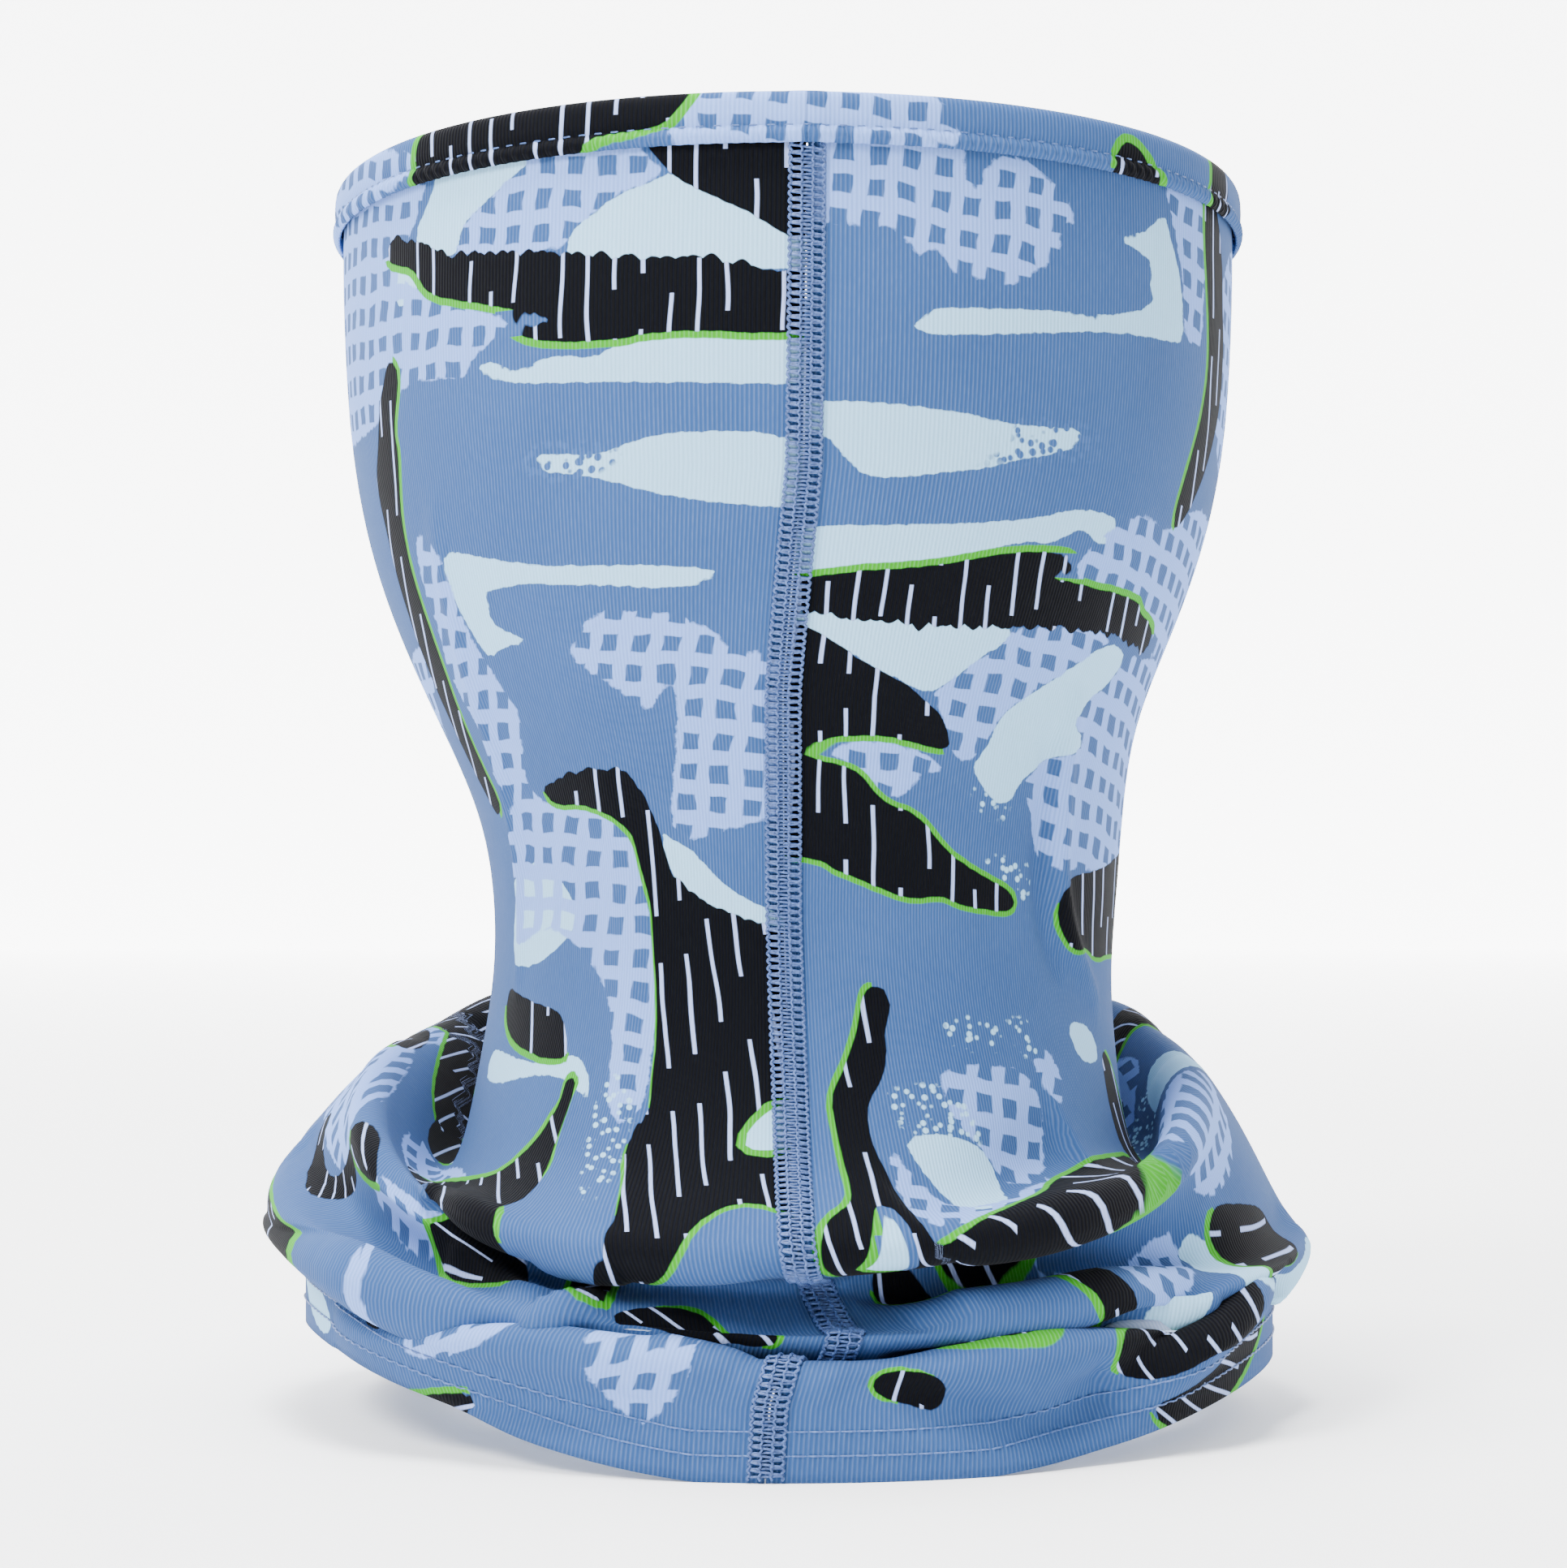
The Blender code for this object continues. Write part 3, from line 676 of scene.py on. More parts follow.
        (-21, 247), (-10, 250), (-8, 256), (2, 262), (2, 268), (-12, 263), (-18, 256),
    ), 1.0, Edge.ROUND, slant=50),
    # Right of the seam, from the top down
    Motif(Ink.GRID, (
        (-2, 0), (17.7, 0), (17.7, 9.8), (18.7, 14.5), (20, 10), (22, 6.8), (24.8, 6.7),
        (28.6, 9.7), (31.3, 12.5), (32.5, 16.5), (30.3, 17), (29.9, 22), (28.4, 24.8), (25.8, 26),
        (25.8, 27.5), (23, 28.5), (19, 28), (16, 27.8), (15, 23), (13, 24.5), (11.4, 24.6),
        (11, 21), (8.3, 20.2), (-2, 20),
    ), ragged=0.7, copies=((124, 6), (-142, 10))),
    Motif(Ink.ICE, (
        (11.6, 36.3), (12.7, 34.8), (14.8, 33.3), (22, 32.8), (28.4, 32), (35.3, 31.8), (42, 30),
        (46.6, 27.3), (45.2, 24.4), (46.2, 20.5), (43.8, 19.3), (38.9, 17.6), (39.8, 16.7),
        (43.6, 16.2), (46.9, 12.8), (49, 11.4), (50, 15), (52.8, 21.5), (53.8, 32), (52.2, 33),
        (46.5, 33.2), (40, 33.8), (36.8, 34.2), (30.5, 35.4), (23.2, 36.8), (14.8, 38),
        (12.4, 37.4),
    ), copies=((92, 10),)),
    Motif(Ink.GRID, (
        (47.8, 0), (50, 10), (51.5, 16), (53.2, 20), (53.8, 31), (57, 32.5), (60, 32), (60, 0),
    ), copies=((52, 4),)),
    Motif(Ink.BLACK, (
        (61, 0), (66, 6), (68.5, 14), (69, 22), (71, 30), (71, 38), (69, 46), (66, 54), (62, 62),
        (59, 65), (57.5, 62), (58.5, 54), (60.5, 47), (62.5, 38), (62.5, 30), (61, 20), (60, 11),
    ), 1.0, Edge.LEFT, copies=((56, 20),)),
    Motif(Ink.ICE, (
        (-2, 50), (3.8, 49.4), (11, 49.7), (19, 50.7), (22.3, 51.6), (29.3, 51.8), (33.5, 51),
        (35, 52.7), (33.5, 54.5), (29.8, 56.3), (24.8, 57.8), (22.3, 59.2), (16.2, 60.7),
        (10.7, 62), (6.7, 61.8), (5, 59.5), (2.3, 54.7), (-2, 54),
    ), ragged=0.3, copies=((86, 2),)),
    Motif(Ink.ICE, (
        (-2, 70.5), (15, 69.8), (25, 68.3), (30, 67), (34, 65.2), (38, 64.6), (44, 65),
        (43.5, 69.4), (41, 70.4), (39, 68.6), (36.5, 68), (33, 71.3), (28, 71.3), (24.8, 72.8),
        (20.6, 75), (14, 76.8), (8, 77.3), (2.3, 79), (-2, 79),
    ), copies=((120, 4),)),
    Motif(Ink.HOLES, ((24, 49), (38, 50), (38, 57), (30, 57), (22, 60), (18, 59), (25, 56))),
    Motif(Ink.GRID, (
        (37.8, 74), (41, 69.5), (44, 66), (50, 63), (56, 66), (60, 62), (70, 58), (90, 60),
        (96, 76), (90, 90), (66, 84), (63, 81), (57, 80), (55, 78), (47, 77.5), (39, 77),
    ), copies=((80, 6),)),
    Motif(Ink.BLACK, (
        (-3, 80.5), (8.2, 77.8), (13.8, 77.3), (20.7, 75.5), (25.8, 73.5), (31, 72.8),
        (36.3, 72.5), (37.8, 74), (36.5, 76), (34, 77), (39, 77.5), (47.3, 78), (55, 78.3),
        (57, 80.5), (63, 81.5), (66, 84), (65.5, 86.8), (62.5, 87.5), (60, 86.3), (54.5, 86.3),
        (53, 85.2), (39, 86.5), (30.5, 86.8), (27.8, 87.6), (23.3, 87), (18, 87.8), (12.8, 87.4),
        (6.3, 87), (2, 85.7), (-3, 85),
    ), 1.2, Edge.ABOVE, 0.8, Edge.BELOW, copies=((181, -48), (96, 10))),
    Motif(Ink.BLACK, (
        (-3, 86.5), (2, 87.5), (6.5, 91), (9.8, 94), (14, 96.6), (17.5, 98.5), (19.5, 100.6),
        (22.5, 103.3), (24, 106.3), (24.8, 109.8), (18.3, 108.6), (15.4, 107.6), (7.7, 107.8),
        (4, 109.5), (-3, 110.5),
    ), 1.0, Edge.BELOW, copies=((181, -87), (118, -4))),
    Motif(Ink.BLACK, (
        (-3, 108), (4.5, 112.2), (8.5, 113), (11.2, 114.3), (13, 117), (15.7, 119.7),
        (19.3, 120.7), (22, 122.5), (24.7, 126), (28.6, 129), (33, 131), (38, 132.7), (39.8, 134),
        (39.8, 136), (38.2, 137), (35.2, 137), (30, 136.7), (25, 135), (21, 136.3), (16.3, 135),
        (11.2, 133), (8, 131.8), (5.5, 129.8), (-3, 129.5),
    ), 0.9, Edge.ROUND, copies=((102, 0), (-146, 14))),
    Motif(Ink.GRID, (
        (6.5, 110.5), (10, 108.5), (15.4, 108.6), (22.8, 111), (24, 113.5), (20, 114), (19, 117.5),
        (16, 118.8), (13, 116), (10.5, 113), (7, 112),
    ), ragged=0.3),
    Motif(Ink.ICE, (
        (-3, 85), (30.5, 86), (31, 88), (29, 90), (26.5, 92.5), (24, 95.7), (20.3, 99.5),
        (17.5, 98.5), (14, 96.6), (9.8, 94), (6.5, 91), (-3, 87),
    ), copies=((96, 10),)),
    Motif(Ink.GRID, (
        (31, 86), (53, 85), (49, 88.3), (45.2, 91.3), (39, 96.5), (35.3, 99.6), (32.3, 102.7),
        (30, 109.5), (27.3, 111.5), (25, 109.8), (24, 106.3), (22.5, 103.3), (20.3, 99.5),
        (24, 95.7), (26.5, 92.5), (29, 90),
    ), copies=((-112, 0),)),
    Motif(Ink.ICE, (
        (49.3, 87.8), (53.5, 86.8), (57.8, 88.5), (56.8, 92), (53.5, 95.8), (49.3, 98.8),
        (47.3, 102), (49, 104), (56, 104.3), (46.5, 108.3), (42.7, 110.8), (38.5, 113.6),
        (37.5, 117), (34.5, 118.5), (31, 115.3), (28.5, 112), (30.8, 108.8), (32.3, 102.7),
        (35.3, 99.6), (39, 96.5), (45.2, 91.3),
    ), ragged=0.3, copies=((76, 8),)),
    Motif(Ink.GRID, (
        (57.8, 88.5), (66, 88), (75, 86), (90, 90), (96, 110), (90, 130), (62, 127), (55, 127.5),
        (50, 129), (46, 127), (43.5, 121), (38.5, 113.8), (42.7, 110.8), (46.5, 108.3),
        (56, 104.3), (49, 104), (47.3, 102), (49.3, 98.8), (53.5, 95.8), (56.8, 92),
    ), copies=((104, 6),)),
    Motif(Ink.DOTS, ((33, 127), (43, 127), (45, 132), (42, 135), (37, 132), (33, 131))),
    Motif(Ink.DOTS, ((29, 113), (36, 115), (38, 119), (34, 122), (29, 119))),
    Motif(Ink.BLACK, (
        (50.5, 130.5), (57.3, 128.3), (66.8, 126.3), (80, 122), (95, 120), (100, 130), (95, 140),
        (75, 141), (66, 143), (60, 141), (56, 142), (54, 142.5), (50.5, 138.5), (49.5, 134),
    ), 0.8, Edge.BELOW, copies=((62, 4),)),
    # Right side of the base
    Motif(Ink.BLACK, (
        (12, 152), (14, 151), (16, 152.5), (16, 156), (14.5, 159), (14.7, 163), (13.3, 168),
        (10.3, 173), (10, 179), (10.8, 184), (12.2, 192), (13.5, 199), (14.7, 204), (18, 208),
        (21, 213), (18, 221), (12, 223), (6, 222), (3, 212), (2, 206), (3, 199), (6.3, 195),
        (6.5, 191), (6, 184), (5.8, 178), (5.3, 172.5), (7, 168), (9, 163), (10.3, 159), (11, 156),
    ), 1.0, Edge.LEFT, slant=8, copies=((104, 2), (-148, 4))),
    Motif(Ink.INLAY, (
        (8.8, 194.5), (11, 196), (12.4, 202), (12.4, 213), (9, 212), (5, 209.5), (7, 206),
        (8, 201),
    )),
    Motif(Ink.BLACK, (
        (14, 204), (17, 201), (21, 198), (25, 195), (31, 191), (35, 186), (42, 183), (48, 181),
        (62, 179), (66, 184), (60, 190), (50, 193), (40, 195), (35, 199), (34, 205), (32, 212),
        (27, 217), (22, 221), (16, 222), (14, 214),
    ), 0.9, Edge.ROUND, slant=68, copies=((120, 6), (-158, 2))),
    Motif(Ink.GRID, (
        (22, 165), (38, 164), (41, 170), (40, 178), (37, 183), (30, 186), (28, 180), (23, 176),
        (22, 170),
    ), ragged=0.5, copies=((72, 4),)),
    Motif(Ink.DOTS, (
        (14, 169), (22, 168), (27, 174), (27, 181), (17, 181), (13.5, 175),
    ), copies=((70, 8),)),
    Motif(Ink.DOTS, ((23, 156), (33, 155), (36, 160), (31, 163), (24, 161))),
    Motif(Ink.DOTS, ((36, 155), (41, 155), (43, 160), (40, 164), (37, 160))),
    Motif(Ink.ICE, (
        (13.5, 178), (28, 178), (28.5, 186), (25, 194), (21.5, 195), (17, 187),
    ), copies=((70, 8),)),
    Motif(Ink.GRID, (
        (12, 180), (14.5, 186), (18, 192), (24, 192), (31, 187), (38, 183), (31, 191), (22, 197),
        (15, 201), (12.5, 194),
    ), ragged=0.3),
    Motif(Ink.GRID, ((40, 161), (45, 160), (47, 166), (44, 172), (41, 166)), ragged=0.4),
    Motif(Ink.BLACK, ((7, 224), (16, 223), (20, 230), (13, 232), (8, 230)), 1.0, Edge.BELOW),
    Motif(Ink.BLACK, (
        (17, 262), (24, 258), (29, 254), (32, 246), (34, 236), (36, 228), (31, 221), (26, 218),
        (23.5, 221), (27, 228), (30.5, 231), (29.5, 238), (27, 246), (23, 253), (17, 257),
    ), 1.7, Edge.BELOW, slant=40),
    Motif(Ink.GRID, (
        (30, 212), (36, 213), (45, 208), (53, 204), (55, 209), (47, 217), (40, 227), (37, 226),
        (34, 217),
    ), ragged=0.3, copies=((60, 6),)),
    Motif(Ink.BLACK, ((10, 270), (18, 268), (19, 275), (10, 276)), 0.8, Edge.LEFT),
    Motif(Ink.ICE, ((53, 209), (57, 206), (60, 212), (61, 222), (58, 227), (53, 222))),
    Motif(Ink.BLACK, (
        (59, 209), (63, 206), (69, 211), (76, 218), (78, 228), (66, 228), (61, 225), (61.5, 218),
    ), 1.2, Edge.LEFT, slant=70),
    Motif(Ink.ICE, ((60, 231), (70, 230), (84, 231), (80, 239), (64, 240))),
    Motif(Ink.ICE, ((43, 222), (48, 219), (47, 228), (41, 238), (38, 235))),
    Motif(Ink.BLACK, (
        (40, 243), (46, 237), (55, 232), (63, 235), (61, 240), (52, 244), (46, 250), (40, 253),
        (38, 249),
    ), 1.2, Edge.LEFT, slant=60),
    Motif(Ink.BLACK, (
        (43, 256), (52, 249), (66, 242), (76, 242), (74, 248), (62, 253), (50, 259),
    ), 1.2, Edge.BELOW, slant=70),
    Motif(Ink.GRID, (
        (58, 184), (70, 184), (84, 190), (88, 202), (72, 208), (58, 203),
    ), ragged=0.3, copies=((70, -4),)),
    Motif(Ink.ICE, ((51, 155), (60, 155), (63, 161), (54, 163))),
    Motif(Ink.BLACK, (
        (64, 158), (70, 162), (76, 174), (72, 180), (60, 182), (62, 170),
    ), 1.0, Edge.RIGHT, slant=20, copies=((40, 0),)),
)

BAND_PRINT = (
    Motif(Ink.GRID, ((-180, -2), (-52, -2), (-50, 12), (-180, 12))),
    Motif(Ink.BLACK, (
        (-51, 9), (-50, -1), (-46, -1), (-12, -1), (-14, 3), (-16, 6), (-25, 7), (-26, 12),
        (-52, 12),
    ), 1.4, Edge.ROUND),
    Motif(Ink.GRID, ((-14, -2), (4, -2), (4, 12), (-16, 12))),
    Motif(Ink.GRID, ((-4, -2), (15, -2), (18, 12), (-4, 12))),
    Motif(Ink.BLACK, ((37, 12), (39, 2), (44, 5), (49, 12)), 1.4, Edge.ABOVE),
    Motif(Ink.BLACK, ((60, -2), (66, -2), (68, 12), (60, 12)), 1.2, Edge.LEFT),
    Motif(Ink.GRID, ((90, -2), (150, -2), (148, 12), (88, 12))),
)


FAR = 40.0  # mm, the distance given to points that no shape reaches
GREEN_INLAY = 1.3  # mm, the green border inside an inlay's outline


@dataclass
class Printing:
    """Works out a print's layers at points of the cloth, as distances to its shapes."""

    motifs: tuple[Motif, ...]
    scale: float = 1.25  # mm of worn cloth to a degree
    reach: float = 12.0  # mm round a shape within which its distance is worked out

    def layers(self, degrees: np.ndarray, down: np.ndarray) -> dict[str, np.ndarray]:
        """Every layer's value at each point.

        Args:
            degrees: degrees from the seam, from 0 to 360.
            down: mm down the cloth.

        Returns:
            For each layer a distance in mm, below zero inside its shapes. "ragged" is how far the
            black's edge wanders, in mm, and "slant" how far its dashes turn, in radians.
        """
        found = {ink.value: np.full(degrees.size, FAR) for ink in Ink}
        found |= {"green": np.full(degrees.size, FAR), "ragged": np.full(degrees.size, 0.1)}
        found["slant"] = np.zeros(degrees.size)
        at = np.stack([degrees.ravel() * self.scale, down.ravel()], axis=1)
        for motif in self.motifs:
            outline = smooth_path(motif.outline, closed=True)
            for turn, drop in ((0, 0), *motif.copies):
                middle = outline[:, 0].mean() + turn
                lap = -FULL_TURN * math.floor(middle / FULL_TURN)
                shape = (outline + (turn + lap, drop)) * (self.scale, 1)
                self.draw(found, at, motif, shape)
        return found

    def draw(self, found: dict, at: np.ndarray, motif: Motif, shape: np.ndarray) -> None:
        """Adds one shape to the layers.

        Args:
            found: the layers so far, changed in place.
            at: the points, in mm.
            motif: the shape's ink and borders.
            shape: its outline, in mm.
        """
        low, high = shape.min(axis=0) - self.reach, shape.max(axis=0) + self.reach
        near = np.flatnonzero(((at > low) & (at < high)).all(axis=1))
        if not len(near):
            return
        distance, gap = signed_distance(at[near], shape)
        ink = motif.ink.value
        if motif.ink is Ink.INLAY:
            found["black"][near] = np.maximum(found["black"][near], -distance)
            found["inlay"][near] = np.minimum(found["inlay"][near], distance + GREEN_INLAY)
            return
        closer = distance < found[ink][near]
        found[ink][near] = np.minimum(found[ink][near], distance)
        if motif.ink is not Ink.BLACK:
            return
        away = gap * np.sign(distance)[:, None] / (np.abs(distance)[:, None] + 1e-6)
        border = motif.green * edge_share(motif.green_edge, away)
        drawn = np.where(border > 0.05, distance - border, FAR)
        found["green"][near] = np.minimum(found["green"][near], drawn)
        wander = 0.12 + motif.ragged * edge_share(motif.ragged_edge, away)
        found["ragged"][near] = np.where(closer, wander, found["ragged"][near])
        found["slant"][near] = np.where(closer, math.radians(motif.slant), found["slant"][near])


def edge_share(edge: Edge, away: np.ndarray) -> np.ndarray:
    """How much of a border shows at points that lie off an outline in these directions.

    Args:
        edge: the side that the border runs along.
        away: unit directions out of the shape, one row each, as (right, down).

    Returns:
        Shares from 0 to 1.
    """
    if edge is Edge.NONE:
        return np.zeros(len(away))
    if edge is Edge.ROUND:
        return np.ones(len(away))
    return np.clip((away @ np.array(edge.value, float)) * 2.0 + 0.2, 0, 1)


# Finishes

# The kinds of node that the finishes are made of
MATH = "ShaderNodeMath"
VECTOR = "ShaderNodeVectorMath"
SPLIT = "ShaderNodeSeparateXYZ"
NOISE = "ShaderNodeTexNoise"
CELLS = "ShaderNodeTexVoronoi"
RANGE = "ShaderNodeMapRange"
MIX = "ShaderNodeMix"
BUMP = "ShaderNodeBump"
LAYER = "ShaderNodeAttribute"

Socket = bpy.types.NodeSocket
Tree = bpy.types.NodeTree


@dataclass(frozen=True)
class Finish:
    """What every finish has: a name for what it really is."""

    name: str

    def start(self) -> tuple[bpy.types.Material, bpy.types.Node]:
        """Starts a node material.

        Returns:
            The material and its Principled shader.
        """
        made = bpy.data.materials.new(self.name)
        made.use_nodes = True
        return made, made.node_tree.nodes["Principled BSDF"]

    def settle(self, shader: bpy.types.Node, values: dict) -> None:
        """Sets the shader's sockets that are the same all over the surface.

        Args:
            shader: the Principled shader.
            values: each socket's name and value.
        """
        for name, value in values.items():
            shader.inputs[name].default_value = value


@dataclass(frozen=True)
class PrintedKnit(Finish):
    """Sublimation-printed polyester and elastane rib jersey.

    The dyed face is matt with fine upright wales. The real cloth lets the pale yarn show through
    where it is stretched.
    Here every rib's crest is painted paler, partly that yarn grinning through and partly a painted
    highlight, and every valley between the ribs is painted shade.
    """

    base: str = "284471"
    base_light: str = "314F7F"
    ice: str = "8BB8D5"
    lavender: str = "7190D0"
    black: str = "020203"
    green: str = "2F8A10"
    dash: str = "93A4D2"
    yarn_and_highlight: str = "C9D6EC"  # the undyed yarn and a painted highlight, laid on the ribs' crests
    shadow: str = "0C1830"  # painted shade in the valley between two ribs
    rib: float = 0.75  # mm from wale to wale, a little coarser than real so that it shows
    square: float = 3.1  # mm, the lattice's squares
    square_pitch: float = 5.7  # mm
    lattice_tilt: float = -6.0  # degrees
    dash_pitch: float = 4.8  # mm
    dash_width: float = 0.7  # mm
    dash_length: float = 27.0  # mm, gap included
    soft_edge: float = 0.1  # mm over which an ink fades out

    def make(self) -> bpy.types.Material:
        """Builds the material.

        Returns:
            The material.
        """
        made, shader = self.start()
        tree = made.node_tree
        cloth, worn = self.in_mm(tree, "cloth"), self.in_mm(tree, "worn")
        masks = self.masks(tree, worn)
        ribs, slub = self.wales(tree, cloth)
        colour = self.inks(tree, worn, masks, (ribs, slub))
        tree.links.new(colour, shader.inputs["Base Color"])
        self.settle(shader, {"Roughness": 0.8, "IOR": 1.5, "Specular IOR Level": 0.05})
        self.settle(shader, {"Sheen Weight": 0.015, "Sheen Roughness": 0.5})
        height = add_node(tree, MATH, (slub, 0.35, ribs), operation="MULTIPLY_ADD").outputs[0]
        relief = {"Strength": 0.55, "Distance": 0.12 * MM, "Height": height}
        tree.links.new(add_node(tree, BUMP, relief).outputs[0], shader.inputs["Normal"])
        return made

    def in_mm(self, tree: Tree, layer: str) -> Socket:
        """One of the piece's UV maps, in millimetres."""
        mapped = add_node(tree, "ShaderNodeUVMap", uv_map=layer).outputs[0]
        return add_node(tree, VECTOR, (mapped, (1 / MM,) * 3), operation="MULTIPLY").outputs[0]

    def wales(self, tree: Tree, cloth: Socket) -> tuple[Socket, Socket]:
        """The knit's ribs.

        Args:
            tree: the material's node tree.
            cloth: the place on the flat cloth, in mm.

        Returns:
            The ribs' height from 0 to 1, and the yarn's unevenness along them.
        """
        uneven = add_node(tree, VECTOR, (cloth, (2.2, 0.5, 1)), operation="MULTIPLY").outputs[0]
        slub = add_node(tree, NOISE, {"Vector": uneven, "Scale": 1.0, "Detail": 2.0}).outputs[0]
        across = add_node(tree, SPLIT, (cloth,)).outputs[0]
        turn = (across, 2 * math.pi / self.rib)
        phase = add_node(tree, MATH, turn, operation="MULTIPLY").outputs[0]
        wave = add_node(tree, MATH, (phase,), operation="SINE").outputs[0]
        return add_node(tree, MATH, (wave, 0.5, 0.5), operation="MULTIPLY_ADD").outputs[0], slub

    def masks(self, tree: Tree, worn: Socket) -> dict[str, Socket]:
        """Where each ink lies.

        Args:
            tree: the material's node tree.
            worn: the place on the worn cloth, in mm.

        Returns:
            For each ink a value from 0 to 1.
        """
        fine = add_node(tree, NOISE, {"Vector": worn, "Scale": 0.55, "Detail": 3.0}).outputs[0]
        wander = add_node(tree, MATH, (fine, 0.5), operation="SUBTRACT").outputs[0]
        columns = add_node(tree, VECTOR, (worn, (0.42, 0.12, 1)), operation="MULTIPLY").outputs[0]
        bites = {"Vector": columns, "Scale": 1.0, "Randomness": 0.8}
        bite = add_node(tree, CELLS, bites).outputs["Distance"]
        swing = add_node(tree, MATH, (bite, 2.8, -1.1), operation="MULTIPLY_ADD").outputs[0]
        share = (swing, add_node(tree, LAYER, attribute_name="ragged").outputs["Fac"])
        ragged = add_node(tree, MATH, share, operation="MULTIPLY").outputs[0]
        found = {}
        # How far each ink's edge is pushed about, and over how many mm it fades out
        for ink, push, part, blur in (
            ("black", ragged, 1.0, self.soft_edge),
            ("green", ragged, 0.75, self.soft_edge),
            ("ice", wander, 1.0, self.soft_edge),
            ("grid", wander, 2.0, 0.2),
            ("dots", wander, 3.0, 0.4),
            ("holes", wander, 0.0, 0.4),
            ("inlay", wander, 0.0, self.soft_edge),
        ):
            distance = add_node(tree, LAYER, attribute_name=ink).outputs["Fac"]
            moved = add_node(tree, MATH, (push, part, distance), operation="MULTIPLY_ADD")
            fade = {"Value": moved.outputs[0], "From Min": blur, "From Max": -blur}
            found[ink] = add_node(tree, RANGE, fade).outputs[0]
        dots = {"Vector": worn, "Scale": 0.62, "Randomness": 0.9}
        spots = add_node(tree, CELLS, dots).outputs["Distance"]
        for ink, radius in (("dots", 0.36), ("holes", 0.44)):
            fade = {"Value": spots, "From Min": radius + 0.06, "From Max": radius - 0.06}
            spotted = (add_node(tree, RANGE, fade).outputs[0], found[ink])
            found[ink] = add_node(tree, MATH, spotted, operation="MULTIPLY").outputs[0]
        return found

    def lattice(self, tree: Tree, worn: Socket) -> Socket:
        """The hand-drawn lattice.

        Args:
            tree: the material's node tree.
            worn: the place on the worn cloth, in mm.

        Returns:
            1 on its bars and 0 in its squares.
        """
        tilt = {"Vector": worn, "Rotation": (0, 0, math.radians(self.lattice_tilt))}
        tilted = add_node(tree, "ShaderNodeMapping", tilt).outputs[0]
        drift = add_node(tree, NOISE, {"Vector": worn, "Scale": 0.12, "Detail": 2.0})
        push = (drift.outputs["Color"], (3.0, 3.0, 0), tilted)
        moved = add_node(tree, VECTOR, push, operation="MULTIPLY_ADD").outputs[0]
        share = (moved, (1 / self.square_pitch, 1 / self.square_pitch, 1))
        cells = add_node(tree, VECTOR, share, operation="MULTIPLY").outputs[0]
        part = add_node(tree, VECTOR, (cells,), operation="FRACTION").outputs[0]
        centred = add_node(tree, VECTOR, (part, (0.5, 0.5, 0)), operation="SUBTRACT").outputs[0]
        folded = add_node(tree, VECTOR, (centred,), operation="ABSOLUTE").outputs[0]
        sides = add_node(tree, SPLIT, (folded,)).outputs
        most = add_node(tree, MATH, (sides[0], sides[1]), operation="MAXIMUM").outputs[0]
        half = self.square / self.square_pitch / 2
        settings = {"Value": most, "From Min": half - 0.02, "From Max": half + 0.02}
        return add_node(tree, RANGE, settings).outputs[0]

    def dashes(self, tree: Tree, worn: Socket) -> Socket:
        """The pale dashes that run in staggered rows over the black.

        Args:
            tree: the material's node tree.
            worn: the place on the worn cloth, in mm.

        Returns:
            1 on a dash and 0 off it.
        """
        slant = add_node(tree, LAYER, attribute_name="slant").outputs["Fac"]
        turn = {"Vector": worn, "Angle": slant}
        turned = add_node(tree, "ShaderNodeVectorRotate", turn, rotation_type="Z_AXIS").outputs[0]
        bend = add_node(tree, NOISE, {"Vector": worn, "Scale": 0.05, "Detail": 1.0}).outputs[0]
        sides = add_node(tree, SPLIT, (turned,)).outputs
        x = add_node(tree, MATH, (bend, 2.5, sides[0]), operation="MULTIPLY_ADD").outputs[0]
        cells = add_node(tree, MATH, (x, self.dash_pitch), operation="DIVIDE").outputs[0]
        row = add_node(tree, MATH, (cells,), operation="FLOOR").outputs[0]
        each = add_node(tree, "ShaderNodeTexWhiteNoise", {"W": row}, noise_dimensions="1D")
        chance = each.outputs[0]
        part = add_node(tree, MATH, (cells,), operation="FRACT").outputs[0]
        centred = add_node(tree, MATH, (part, 0.5), operation="SUBTRACT").outputs[0]
        across = add_node(tree, MATH, (centred,), operation="ABSOLUTE").outputs[0]
        thin = self.dash_width / self.dash_pitch / 2
        edge = {"Value": across, "From Min": thin + 0.02, "From Max": thin - 0.02}
        line = add_node(tree, RANGE, edge).outputs[0]
        along = add_node(tree, MATH, (sides[1], self.dash_length), operation="DIVIDE").outputs[0]
        shifted = add_node(tree, MATH, (chance, 7.0, along), operation="MULTIPLY_ADD").outputs[0]
        place = add_node(tree, MATH, (shifted,), operation="FRACT").outputs[0]
        run = add_node(tree, MATH, (chance, 0.3, 0.5), operation="MULTIPLY_ADD").outputs[0]
        drawn = add_node(tree, MATH, (place, run), operation="LESS_THAN").outputs[0]
        return add_node(tree, MATH, (line, drawn), operation="MULTIPLY").outputs[0]

